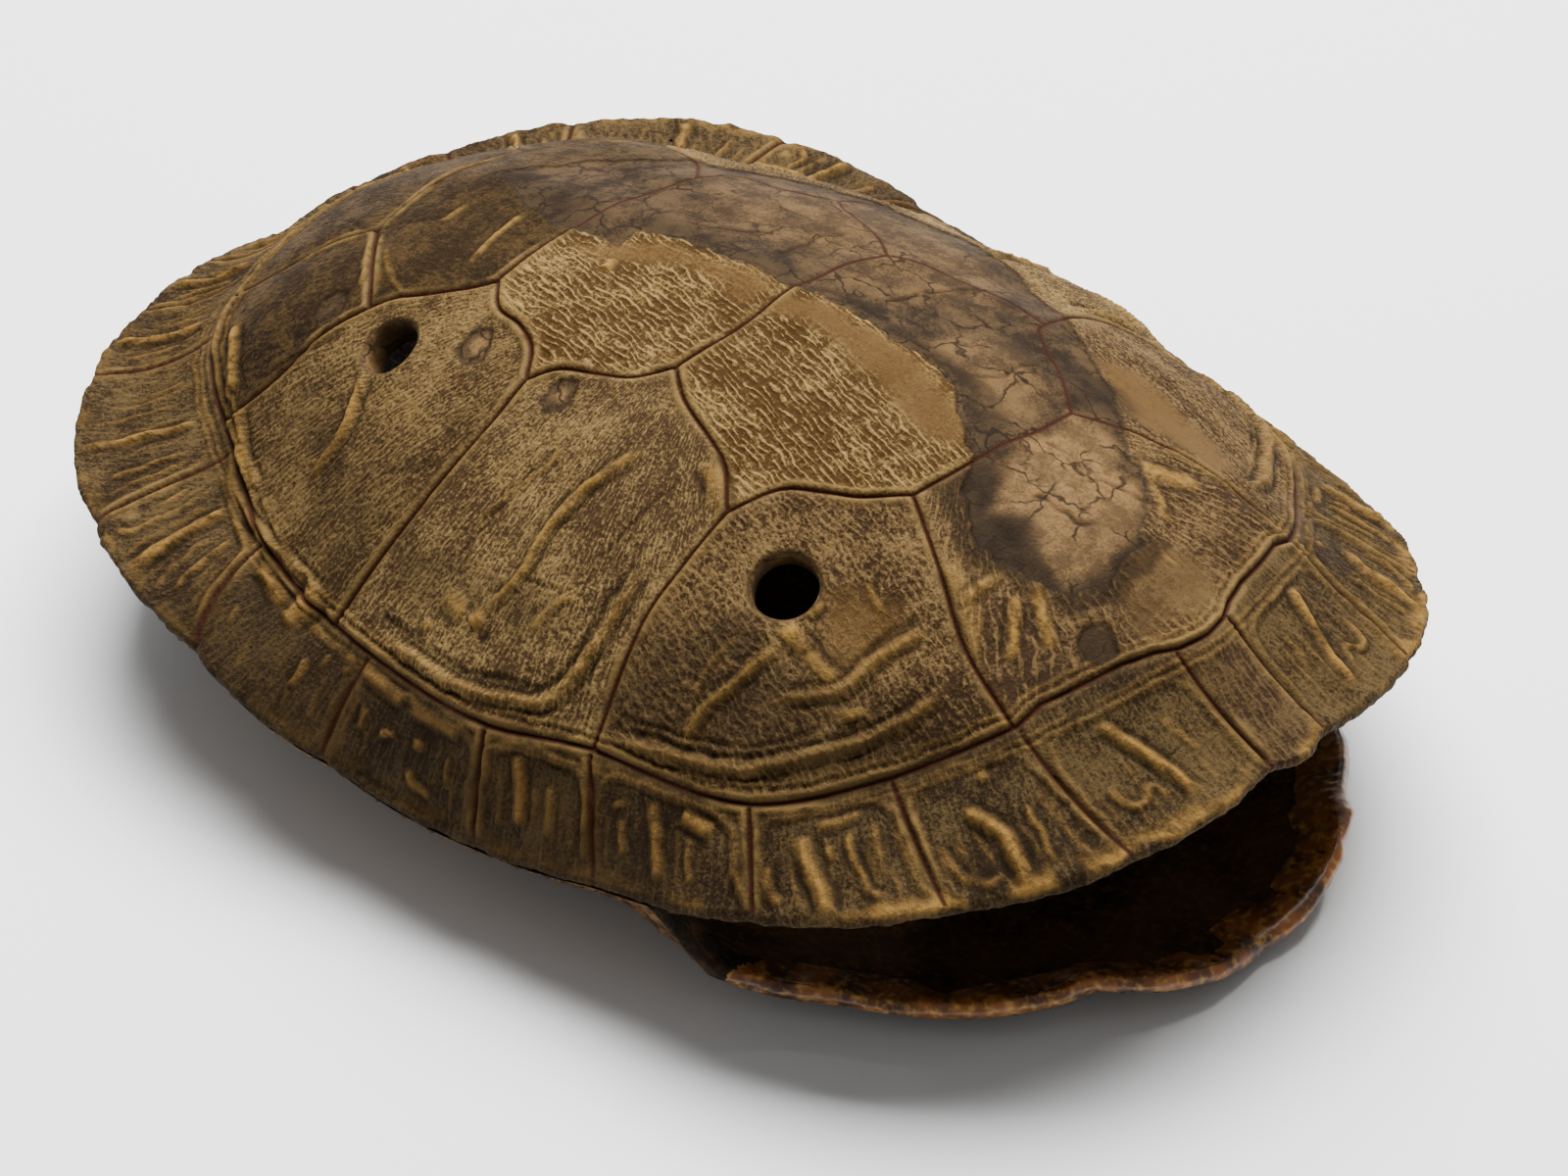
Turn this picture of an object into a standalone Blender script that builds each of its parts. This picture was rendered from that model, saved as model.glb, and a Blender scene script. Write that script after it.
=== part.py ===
"""Turtle shell: the dried carapace and plastron of a pond turtle.

The shell stands on its plastron, head end to +X, the animal's left to +Y, +Z up.
Its origin is the middle of its bounding box on the ground. The tables below are in
millimetres, and MM turns them to metres where a mesh is made.

The carapace is drawn from a closed rim curve and a closed inner curve (the line
between the costal scutes and the marginal scutes). A dome closes the inner curve
and a flared strip joins it to the rim. Seams, growth ledges and bars are relief on
that surface. The plastron is a plate on the ground whose two bridges climb to the
carapace and meet it at a thin suture gap.
"""

import math

import bmesh
import bpy
import numpy as np
from mathutils import Vector
from mathutils.geometry import delaunay_2d_cdt
from mathutils.kdtree import KDTree

MM = 0.001

# ---- driving dimensions of the carapace, in mm -------------------------------------

CENTRE_X = 4.0            # the polar frame of the dome turns about (CENTRE_X, 0)
SHIFT_X = 1.7             # brings the middle of the whole shell over the origin
DOME_HEIGHT = 84.0        # top of the back above the ground
WALL = 3.4                # bone and horn together, over the dome
KEEL_HEIGHT = 1.6         # the low ridge along the back
KEEL_HALF_WIDTH = 7.0

# (x, |y|, z) on the rim at the nuchal's corner and at each seam between marginals
RIM_SEAMS = (
    (123.5, 6.5, 50.5), (119.0, 35.0, 46.5), (102.0, 60.0, 41.0), (76.5, 77.5, 34.5),
    (47.0, 84.5, 28.5), (23.0, 89.0, 25.0), (-10.0, 93.0, 26.8), (-42.0, 93.5, 32.8),
    (-76.0, 87.0, 38.0), (-109.0, 60.5, 39.5), (-122.0, 38.5, 37.0), (-127.5, 18.0, 35.5),
)
RIM_FRONT = (125.0, 0.0, 51.0)
RIM_REAR = (-127.0, 0.0, 34.5)

# the same seams where they reach the costal and vertebral scutes
INNER_SEAMS = (
    (103.5, 6.5, 61.5), (95.0, 34.5, 56.5), (82.5, 51.5, 49.5), (66.5, 68.0, 44.5),
    (38.0, 76.0, 43.0), (19.5, 82.5, 42.0), (-10.0, 82.5, 40.0), (-46.5, 75.0, 40.5),
    (-69.0, 63.0, 42.5), (-95.5, 45.0, 45.5), (-104.0, 27.0, 48.0), (-107.5, 11.0, 49.5),
)
INNER_FRONT = (104.5, 0.0, 62.0)
INNER_REAR = (-108.0, 0.0, 50.0)

# how full the dome is towards the head, the flanks and the tail
FULLNESS = (2.1, 2.0, 2.3)
SHOULDER = 1.05
# how far the marginal strip sags below a straight line: head, flank, tail
MARGIN_SAG = (1.2, -1.0, 2.5)
# how far the rim bows out between its seams: the nuchal, then the twelve marginals
SCALLOPS = (0.9, 0.85, 0.8, 0.7, 0.55, 0.5, 0.5, 1.7, 1.1, 1.65, 0.4, 0.6, 0.6)

# underside of the rim: lower edge, then a flat lip, then the wall inside
RIM_THICKNESS = 2.6
RIM_UNDERCUT = 0.8
LIP_WIDTH = 5.5
LIP_S = 1.75
LIP_RISE = 2.0            # away from the bridges the lip climbs by this much

# seams of the right side, (x, y) seen from above, from the back to the flank
CORNERS = {
    "v12": (56, -19), "v2c12": (34, -40), "v23": (7, -25), "v3c23": (-15, -39),
    "v34": (-37, -25), "v4c34": (-58, -37), "v45": (-76, -19),
}
CORNERS_LEFT = {
    "v12": (59, 17), "v2c12": (37, 35), "v23": (9, 25), "v3c23": (-15, 38),
    "v34": (-34, 21), "v4c34": (-58, 36), "v45": (-76, 18),
}
SIDE_SEAMS = (
    ("v12", ((50, -24.5), (44, -28), (38.5, -32)), "v2c12"),
    ("v2c12", ((28, -34.5), (22, -32), (13, -29)), "v23"),
    ("v23", ((2, -30), (-4, -32.5), (-11, -35)), "v3c23"),
    ("v3c23", ((-19, -34), (-25, -31), (-32, -29.5)), "v34"),
    ("v34", ((-41, -28), (-48, -31.5), (-54, -34)), "v4c34"),
    ("v4c34", ((-62, -33), (-69, -26)), "v45"),
)
FLANK_SEAMS = (
    ("v12", ((68, -25.5), (80, -32)), (94, -35)),
    ("v2c12", ((33.5, -50), (33.5, -60)), (38, -76)),
    ("v3c23", ((-15, -48), (-16.5, -60)), (-20, -80)),
    ("v4c34", ((-64, -43), (-68, -51)), (-76, -60)),
    ("v45", ((-83, -22), (-90, -28)), (-100, -36)),
)
CROSS_SEAMS = (
    ("v12", ((58, -9), (60, 3))), ("v23", ((9, -13), (9.5, 2), (8, 15))),
    ("v34", ((-36, -12), (-34, 2))), ("v45", ((-77.5, -7), (-77, 8))),
)
SEAM_DEPTH = 0.9
SEAM_HALF_WIDTH = 1.1
LIP_HEIGHT = 0.45
LIP_OFFSET = 2.3

# a growth ledge runs above the lower border of each costal, at this share of the way
LEDGE_S = 0.87
LEDGE_HEIGHT = 1.1
LEDGE_HALF_WIDTH = 1.9
LEDGE_INSET = math.radians(4.0)
# raised bars of the costals, right side, (x, y) pairs
COSTAL_BARS = (
    ((45, -50), (48, -60)), ((19, -42), (9, -64)),
    ((-42, -48), (-42, -64)), ((-77, -34), (-88, -42)),
)
BAR_HEIGHT = 0.9
BAR_HALF_WIDTH = 1.6

# two holes drilled through the right flank, (x, y) and diameter
DRILLED_HOLES = (((50, -43), 11.5), ((-47, -42), 11.0))
HOLE_SIDES = 18

# ---- driving dimensions of the plastron, in mm -------------------------------------

SUTURE_GAP = 0.4
PLATE = 4.0
# (x, |y|, z) of its lower edge from the throat back to the bridge
FRONT_LOBE = (
    (120.0, 0.0, 3.0), (121.3, 9.0, 5.0), (119.8, 18.0, 7.3), (116.5, 26.0, 9.0),
    (111.3, 30.3, 9.5), (107.5, 38.0, 8.2), (99.5, 48.0, 7.0), (90.0, 55.5, 6.3),
    (80.0, 62.0, 6.7), (71.0, 68.5, 7.3), (63.5, 74.5, 10.8),
)
# and from the bridge back to the notch under the tail
REAR_LOBE = (
    (-60.0, 77.0, 19.0), (-64.0, 66.0, 9.5), (-70.0, 60.0, 6.5), (-82.0, 56.0, 5.2),
    (-94.0, 50.0, 5.2), (-104.0, 41.0, 6.0), (-111.0, 30.0, 7.0), (-114.0, 21.0, 7.5),
    (-113.5, 10.0, 7.2), (-111.0, 0.0, 6.8),
)
# the bridge meets the carapace between these two places along the row of marginals
BRIDGE_FROM, BRIDGE_TO = 4.62, 8.25
BRIDGE_POINTS = 18
BRIDGE_RUN = 36.0         # how far the bridge takes to come down to the ground
LOBE_RUN = 20.0
LOBE_EDGE = (1.0, 2.8)    # inward and upward from the lower to the upper edge
# seams across the belly: x at the middle and at the edge, |y| of the edge
PLASTRON_SEAMS = (
    ((100.0, 0.0), (111.3, 30.3)), ((70.0, 0.0), (88.0, 56.5)),
    ((36.0, 0.0), (50.0, 70.0)), ((-22.0, 0.0), (-40.0, 70.0)),
    ((-66.0, 0.0), (-74.0, 58.5)),
)
PLASTRON_SEAM_DEPTH = 0.6

# ---- mesh spacing, in mm -----------------------------------------------------------

SEAM_STEP = 4.0
OUTER_STEP = 7.4
INNER_STEP = 13.0
PLASTRON_STEP = 9.0
RIM_POINTS_PER_MARGINAL = 5


# ---- curves ------------------------------------------------------------------------

def by_direction(head, flank, tail, angle):
    """Blend three values by the direction an angle points in."""
    facing = np.cos(angle)
    return flank + (head - flank) * np.clip(facing, 0, 1) ** 2 \
        + (tail - flank) * np.clip(-facing, 0, 1) ** 2


class Ring:
    """A closed curve round the shell, through mirrored stations, by polar angle."""

    def __init__(self, front, rear, seams):
        right = [(x, -y, z) for x, y, z in seams]
        left = [(x, y, z) for x, y, z in reversed(seams)]
        stations = np.array([front] + right + [rear] + left, float)
        dx = stations[:, 0] - CENTRE_X
        self.angles = np.arctan2(stations[:, 1], dx) % (2 * math.pi)
        self.radii = np.hypot(dx, stations[:, 1])
        self.heights = stations[:, 2]

    def _through(self, values, angle):
        order = np.argsort(self.angles)
        turn = 2 * math.pi
        a, v = self.angles[order], values[order]
        a = np.concatenate([a[-2:] - turn, a, a[:2] + turn])
        v = np.concatenate([v[-2:], v, v[:2]])
        slope = np.zeros_like(v)
        slope[1:-1] = (v[2:] - v[:-2]) / (a[2:] - a[:-2])
        q = np.asarray(angle, float) % turn
        i = np.clip(np.searchsorted(a, q, side="right") - 1, 1, len(a) - 3)
        h = a[i + 1] - a[i]
        u = (q - a[i]) / h
        return v[i] * (2 * u**3 - 3 * u**2 + 1) + h * slope[i] * (u**3 - 2 * u**2 + u) \
            + v[i + 1] * (3 * u**2 - 2 * u**3) + h * slope[i + 1] * (u**3 - u**2)

    def radius(self, angle):
        return self._through(self.radii, angle)

    def height(self, angle):
        return self._through(self.heights, angle)

    def station_angle(self, place):
        """The angle at a place along the right side, 0 at the head to 13 at the tail."""
        right = -((-self.angles[:14]) % (2 * math.pi))
        return np.interp(place, np.arange(14), right)


RIM = Ring(RIM_FRONT, RIM_REAR, RIM_SEAMS)
INNER = Ring(INNER_FRONT, INNER_REAR, INNER_SEAMS)


def smooth_path(points, step):
    """A Catmull-Rom curve through points, as points about one step apart."""
    p = np.array(points, float)
    p = np.vstack([2 * p[0] - p[1], p, 2 * p[-1] - p[-2]])
    dense = [p[1]]
    for a, b, c, d in zip(p, p[1:], p[2:], p[3:]):
        for u in np.linspace(0, 1, 13)[1:]:
            dense.append(0.5 * (2 * b + (c - a) * u + (2 * a - 5 * b + 4 * c - d) * u**2
                                + (3 * b - a - 3 * c + d) * u**3))
    return resample(np.array(dense), step)


def resample(line, step):
    """Points about one step apart along a polyline, both of its ends kept."""
    run = np.concatenate([[0], np.cumsum(np.linalg.norm(np.diff(line, axis=0), axis=1))])
    count = max(2, int(round(run[-1] / step)) + 1)
    at = np.linspace(0, run[-1], count)
    return np.stack([np.interp(at, run, line[:, k]) for k in range(line.shape[1])], -1)


# ---- the carapace's surface --------------------------------------------------------

def scallop(angle):
    """How far the rim stands out between two seams, the same on both sides."""
    folded = np.abs((np.asarray(angle, float) + math.pi) % (2 * math.pi) - math.pi)
    seams = (-RIM.angles[1:14]) % (2 * math.pi)
    seams = np.concatenate([[-seams[0]], seams])
    i = np.clip(np.searchsorted(seams, folded, side="right") - 1, 0, len(SCALLOPS) - 1)
    share = np.clip((folded - seams[i]) / (seams[i + 1] - seams[i]), 0, 1)
    return np.array(SCALLOPS)[i] * np.sin(math.pi * share) ** 0.7


def polar_point(radius, angle, height):
    return np.stack([CENTRE_X + radius * np.cos(angle), radius * np.sin(angle), height], -1)


def outer_surface(angle, s):
    """The smooth outside: s is 0 on the back, 1 on the inner curve, 2 on the rim."""
    angle, s = np.broadcast_arrays(np.asarray(angle, float), np.asarray(s, float))
    t = np.clip(s, 0, 1)
    fullness = by_direction(*FULLNESS, angle)
    rise = np.clip(1 - t ** fullness, 0, 1) ** (1 / SHOULDER)
    edge = INNER.height(angle)
    radius = INNER.radius(angle) * t
    height = edge + (DOME_HEIGHT - edge) * rise
    height = height + KEEL_HEIGHT * np.exp(-(radius * np.sin(angle) / KEEL_HALF_WIDTH) ** 2) \
        * np.sqrt(np.clip(1 - t, 0, 1))
    dome = polar_point(radius, angle, height)
    u = np.clip(s - 1, 0, 1)
    inner = polar_point(INNER.radius(angle), angle, edge)
    rim = polar_point(RIM.radius(angle) + scallop(angle), angle, RIM.height(angle))
    strip = inner + (rim - inner) * u[..., None]
    strip[..., 2] -= by_direction(*MARGIN_SAG, angle) * 4 * u * (1 - u)
    return np.where((s > 1)[..., None], strip, dome)


def outward(angle, s):
    """Unit normals of the outer surface."""
    da, ds = 0.01, 0.02
    low, high = np.clip(s - ds, 0.03, 2), np.clip(s + ds, 0.06, 2)
    along = outer_surface(angle + da, s) - outer_surface(angle - da, s)
    down = outer_surface(angle, high) - outer_surface(angle, low)
    normal = np.cross(down, along)
    normal /= np.linalg.norm(normal, axis=-1, keepdims=True) + 1e-12
    return np.where((s < 0.05)[..., None], np.array([0.0, 0.0, 1.0]), normal)


def bridge_share(angle):
    """1 along the bridges, 0 well away from them."""
    folded = np.abs((np.asarray(angle, float) + math.pi) % (2 * math.pi) - math.pi)
    start = -RIM.station_angle(BRIDGE_FROM)
    end = -RIM.station_angle(BRIDGE_TO)
    fade = math.radians(6)
    return np.clip((folded - start) / fade + 1, 0, 1) * np.clip((end - folded) / fade + 1, 0, 1)


def rim_lower_edge(angle):
    return polar_point(RIM.radius(angle) + scallop(angle) - RIM_UNDERCUT, angle,
                       RIM.height(angle) - RIM_THICKNESS)


def lip_inner_edge(angle):
    rise = LIP_RISE * (1 - bridge_share(angle))
    return polar_point(RIM.radius(angle) - RIM_UNDERCUT - LIP_WIDTH, angle,
                       RIM.height(angle) - RIM_THICKNESS + rise)


def inner_surface(angle, s):
    """The inside: s runs from the back down the wall to the lip and the rim's edge."""
    angle, s = np.broadcast_arrays(np.asarray(angle, float), np.asarray(s, float))
    t = np.minimum(s, 1)
    wall = outer_surface(angle, t) - WALL * outward(angle, t)
    knee, edge = lip_inner_edge(angle), rim_lower_edge(angle)
    climb = np.clip((s - 1) / (LIP_S - 1), 0, 1)[..., None]
    flat = np.clip((s - LIP_S) / (2 - LIP_S), 0, 1)[..., None]
    return np.where((s <= LIP_S)[..., None], wall + (knee - wall) * climb,
                    knee + (edge - knee) * flat)


class FlatMap:
    """The dome unrolled: distance along each meridian from the top, by polar angle."""

    def __init__(self):
        self.angles = np.linspace(0, 2 * math.pi, 241)
        self.shares = np.linspace(0, 2, 121)
        a, s = np.meshgrid(self.angles, self.shares, indexing="ij")
        steps = np.linalg.norm(np.diff(outer_surface(a, s), axis=1), axis=-1)
        self.run = np.concatenate([np.zeros((len(self.angles), 1)),
                                   np.cumsum(steps, axis=1)], axis=1)

    def _row(self, angle):
        place = (np.asarray(angle, float) % (2 * math.pi)) / self.angles[1]
        i = np.clip(place.astype(int), 0, len(self.angles) - 2)
        return i, place - i

    def flatten(self, angle, s):
        """(angle, s) to a place on the flat."""
        i, f = self._row(angle)
        j = np.clip((np.asarray(s) / self.shares[1]).astype(int), 0, len(self.shares) - 2)
        g = s / self.shares[1] - j
        low = self.run[i, j] * (1 - g) + self.run[i, j + 1] * g
        high = self.run[i + 1, j] * (1 - g) + self.run[i + 1, j + 1] * g
        run = low * (1 - f) + high * f
        return np.stack([run * np.cos(angle), run * np.sin(angle)], -1)

    def raise_up(self, flat):
        """A place on the flat back to (angle, s)."""
        angle = np.arctan2(flat[:, 1], flat[:, 0])
        run = np.hypot(flat[:, 0], flat[:, 1])
        i, f = self._row(angle)
        rows = self.run[i] * (1 - f)[:, None] + self.run[i + 1] * f[:, None]
        j = np.clip((rows < run[:, None]).sum(1) - 1, 0, len(self.shares) - 2)
        k = np.arange(len(j))
        share = (run - rows[k, j]) / (rows[k, j + 1] - rows[k, j])
        return angle, np.clip((j + share) * self.shares[1], 0, 2)


def plan_to_polar(plan):
    """(x, y) on the dome, seen from above, to (angle, s)."""
    plan = np.asarray(plan, float)
    dx, y = plan[:, 0] - CENTRE_X, plan[:, 1]
    angle = np.arctan2(y, dx)
    return angle, np.hypot(dx, y) / INNER.radius(angle)


# ---- seams, ledges and bars --------------------------------------------------------

def mirrored(points):
    return [(x, -y) for x, y in points]


def dome_seams():
    """Every seam on the dome as a path of (x, y) points."""
    paths = []
    for corners, flip in ((CORNERS, False), (CORNERS_LEFT, True)):
        for start, between, end in SIDE_SEAMS:
            middle = mirrored(between) if flip else list(between)
            paths.append([corners[start]] + middle + [corners[end]])
        for start, between, foot in FLANK_SEAMS:
            rest = list(between) + [foot]
            paths.append([corners[start]] + (mirrored(rest) if flip else rest))
    for name, between in CROSS_SEAMS:
        paths.append([CORNERS[name]] + list(between) + [CORNERS_LEFT[name]])
    return paths


def seam_lines(step):
    """Every seam of the carapace as lines of (angle, s), about one step apart."""
    lines = []
    for path in dome_seams():
        angle, s = plan_to_polar(smooth_path(path, step))
        s[-1] = 1.0 if s[-1] > 0.93 else s[-1]
        lines.append((angle, s))
    for at_inner, at_rim in zip(INNER.angles, RIM.angles):
        if min(abs(at_rim), abs(at_rim - math.pi)) > 1e-6 or at_rim > 3:
            count = int(round(20 / step)) + 2
            u = np.linspace(0, 1, count)
            turn = (at_rim - at_inner + math.pi) % (2 * math.pi) - math.pi
            lines.append((at_inner + turn * u, 1 + u))
    around = ring_angles(step)
    lines.insert(0, (around, np.ones_like(around)))
    return lines


def ring_angles(step):
    """Angles round the inner curve that pass through the foot of every seam on it."""
    feet = np.concatenate([INNER.angles, foot_angles(False), foot_angles(True)])
    feet = np.sort(feet % (2 * math.pi))
    apart = np.diff(feet) > math.radians(1.2)
    feet = feet[np.concatenate([[True], apart])]
    feet = np.concatenate([feet, [2 * math.pi]])
    around = [0.0]
    for start, end in zip(feet, feet[1:]):
        count = max(1, int(round((end - start) * 88 / step)))
        around += list(np.linspace(start, end, count + 1)[1:])
    return np.array(around)


def foot_angles(flip):
    """Angles at which the seams between costals reach the inner curve, head to tail."""
    feet = [seam[2] for seam in FLANK_SEAMS]
    angle, _ = plan_to_polar(mirrored(feet) if flip else feet)
    return angle


def ledge_lines(step):
    """The growth ledge of each costal, as lines of (angle, s)."""
    lines = []
    for flip in (False, True):
        feet = foot_angles(flip)
        inset = -LEDGE_INSET if flip else LEDGE_INSET
        for start, end in zip(feet, feet[1:]):
            turn = (end + inset) - (start - inset)
            count = max(4, int(abs(turn) * 75 / step))
            u = np.linspace(0, 1, count)
            lines.append((start - inset + turn * u, LEDGE_S - 0.10 * (2 * u - 1) ** 4))
    return lines


def bar_lines(step):
    """The raised bar of each costal, as lines of (angle, s)."""
    lines = []
    for bar in COSTAL_BARS:
        for points in (bar, mirrored(bar)):
            lines.append(plan_to_polar(resample(np.array(points, float), step)))
    return lines


class Relief:
    """Height added to the smooth outside near seams, ledges and bars."""

    def __init__(self):
        self.seams = self._tree(seam_lines(0.8))
        self.ledges = self._tree(ledge_lines(0.8))
        self.bars = self._tree(bar_lines(0.8))

    @staticmethod
    def _tree(lines):
        points = np.vstack([outer_surface(a, s) for a, s in lines])
        tree = KDTree(len(points))
        for i, point in enumerate(points):
            tree.insert(Vector(point), i)
        tree.balance()
        return tree

    @staticmethod
    def _distance(tree, points):
        return np.array([tree.find(Vector(p))[2] for p in points])

    def height(self, angle, s):
        base = outer_surface(angle, s)
        seam = self._distance(self.seams, base)
        ledge = self._distance(self.ledges, base)
        bar = self._distance(self.bars, base)
        raised = LEDGE_HEIGHT * np.exp(-(ledge / LEDGE_HALF_WIDTH) ** 2)
        raised = np.maximum(raised, BAR_HEIGHT * np.exp(-(bar / BAR_HALF_WIDTH) ** 2))
        lips = LIP_HEIGHT * np.exp(-((seam - LIP_OFFSET) / 1.2) ** 2)
        groove = SEAM_DEPTH * np.exp(-(seam / SEAM_HALF_WIDTH) ** 2)
        return raised + lips - groove


# ---- points and triangles on the flat ----------------------------------------------

class PointSet:
    """Points on the flat, with lines between them, none closer than their clearance."""

    def __init__(self):
        self.points = []
        self.edges = []

    def add_line(self, flat, closed=False, merge=1.2):
        """Add a line whose points join points already there, and return its indices."""
        ids = []
        for point in flat:
            near = self._nearest(point)
            if near is not None and near[1] < merge:
                ids.append(near[0])
            else:
                self.points.append((float(point[0]), float(point[1])))
                ids.append(len(self.points) - 1)
        pairs = list(zip(ids, ids[1:])) + ([(ids[-1], ids[0])] if closed else [])
        self.edges += [pair for pair in pairs if pair[0] != pair[1]]
        return ids

    def add_clear(self, flat, clearance):
        """Add loose points, leaving out those too near to a point already there."""
        for point in flat:
            near = self._nearest(point)
            if near is None or near[1] >= clearance:
                self.points.append((float(point[0]), float(point[1])))

    def _nearest(self, point):
        if not self.points:
            return None
        away = np.hypot(*(np.array(self.points) - point).T)
        i = int(np.argmin(away))
        return i, float(away[i])

    def triangles(self, keep):
        """Constrained Delaunay triangles whose middles pass the test keep."""
        found = delaunay_2d_cdt([Vector(p) for p in self.points], self.edges, [], 0, 1e-5)
        places = np.array([tuple(v) for v in found[0]])
        if len(places) != len(self.points):
            raise ValueError("two lines on the flat cross between their points")
        faces = np.array(found[2])
        middles = places[faces].mean(axis=1)
        faces = faces[keep(middles)]
        a, b, c = (places[faces[:, k]] for k in range(3))
        ab, ac = b - a, c - a
        turned = ab[:, 0] * ac[:, 1] - ab[:, 1] * ac[:, 0] < 0
        faces[turned] = faces[turned][:, ::-1]
        return faces


def hex_grid(low, high, step):
    """A field of points at the corners of even triangles."""
    row = step * math.sqrt(3) / 2
    points = []
    for j, y in enumerate(np.arange(low[1], high[1], row)):
        for x in np.arange(low[0] + (step / 2 if j % 2 else 0), high[0], step):
            points.append((x, y))
    return np.array(points)


def inside_loop(points, loop):
    """Which points lie inside a closed loop, by counting crossings."""
    x, y = points[:, 0][:, None], points[:, 1][:, None]
    x0, y0 = loop[:, 0][None], loop[:, 1][None]
    x1, y1 = np.roll(loop[:, 0], -1)[None], np.roll(loop[:, 1], -1)[None]
    spans = (y0 > y) != (y1 > y)
    drop = np.where(y1 == y0, 1e-12, y1 - y0)
    return (spans & (x < (x1 - x0) * (y - y0) / drop + x0)).sum(axis=1) % 2 == 1


# ---- meshes ------------------------------------------------------------------------

def rim_angles():
    """Angles of the rim's points: each marginal has the same number of them."""
    place = np.arange(0, 13, 1 / RIM_POINTS_PER_MARGINAL)
    right = RIM.station_angle(place)
    left = -RIM.station_angle(np.arange(13, 0, -1 / RIM_POINTS_PER_MARGINAL))
    return np.concatenate([right, left])


def hole_loop(plan, diameter):
    """A drilled hole's edge as (angle, s), round in the surface it is drilled in."""
    angle, s = plan_to_polar([plan])
    centre = outer_surface(angle, s)[0]
    normal = outward(angle, s)[0]
    side = np.cross(normal, [1.0, 0.0, 0.0])
    side /= np.linalg.norm(side)
    fore = np.cross(side, normal)
    turn = np.linspace(0, 2 * math.pi, HOLE_SIDES, endpoint=False)[:, None]
    loop = centre + (np.cos(turn) * fore + np.sin(turn) * side) * diameter / 2
    return plan_to_polar(loop[:, :2])


def offset_rows(flat, distance):
    """Points on both sides of a line on the flat."""
    along = np.gradient(flat, axis=0)
    along /= np.linalg.norm(along, axis=1, keepdims=True) + 1e-9
    across = np.stack([-along[:, 1], along[:, 0]], -1)
    return np.vstack([flat + across * distance, flat - across * distance])


def carapace_faces():
    """Points in mm and triangles of the whole carapace."""
    flat_map = FlatMap()
    relief = Relief()
    rim = rim_angles()
    rim_flat = flat_map.flatten(rim, np.full(len(rim), 2.0))
    holes = [hole_loop(plan, diameter) for plan, diameter in DRILLED_HOLES]
    hole_flats = [flat_map.flatten(*loop) for loop in holes]

    def keep(middles):
        inside = inside_loop(middles, rim_flat)
        for loop in hole_flats:
            inside &= ~inside_loop(middles, loop)
        return inside

    outer = PointSet()
    rim_ids = outer.add_line(rim_flat, closed=True, merge=0.0)
    hole_ids = [outer.add_line(loop, closed=True, merge=0.0) for loop in hole_flats]
    seams = [flat_map.flatten(*line) for line in seam_lines(SEAM_STEP)]
    for seam in seams:
        outer.add_line(seam)
    for seam in seams:
        rows = offset_rows(seam, LIP_OFFSET)
        outer.add_clear(rows[keep(rows)], LIP_OFFSET * 0.75)
    for line in ledge_lines(SEAM_STEP) + bar_lines(SEAM_STEP):
        crest = flat_map.flatten(*line)
        rows = np.vstack([crest, offset_rows(crest, LEDGE_HALF_WIDTH * 1.6)])
        outer.add_clear(rows[keep(rows)], LIP_OFFSET * 0.75)
    field = hex_grid(rim_flat.min(0), rim_flat.max(0), OUTER_STEP)
    outer.add_clear(field[keep(field)], OUTER_STEP * 0.55)
    outer_faces = outer.triangles(keep)
    angle, s = flat_map.raise_up(np.array(outer.points))
    angle[rim_ids], s[rim_ids] = rim, 2.0
    points = outer_surface(angle, s)
    height = relief.height(angle, s)
    for ids in hole_ids:
        height[ids] = 0.0
    points = points + outward(angle, s) * height[:, None]

    inner = PointSet()
    inner_rim_ids = inner.add_line(rim_flat, closed=True, merge=0.0)
    knee_flat = flat_map.flatten(rim, np.full(len(rim), LIP_S))
    knee_ids = inner.add_line(knee_flat, closed=True, merge=0.0)
    inner_hole_ids = [inner.add_line(loop, closed=True, merge=0.0) for loop in hole_flats]
    field = hex_grid(rim_flat.min(0), rim_flat.max(0), INNER_STEP)
    inner.add_clear(field[inside_loop(field, knee_flat) & keep(field)], INNER_STEP * 0.5)
    inner_faces = inner.triangles(keep)
    angle, s = flat_map.raise_up(np.array(inner.points))
    angle[inner_rim_ids], s[inner_rim_ids] = rim, 2.0
    angle[knee_ids], s[knee_ids] = rim, LIP_S
    below = inner_surface(angle, s)
    base = len(points)
    faces = [tuple(f) for f in outer_faces]
    faces += [tuple(base + f[::-1]) for f in inner_faces]
    faces += strip(rim_ids, [base + i for i in inner_rim_ids])
    for upper, lower in zip(hole_ids, inner_hole_ids):
        faces += strip([base + i for i in lower], upper)
    return np.vstack([points, below]), faces


def strip(upper, lower):
    """Triangles of the band between two loops with the same number of points."""
    faces = []
    count = len(upper)
    for i in range(count):
        j = (i + 1) % count
        faces += [(upper[i], lower[i], lower[j]), (upper[i], lower[j], upper[j])]
    return faces


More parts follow.
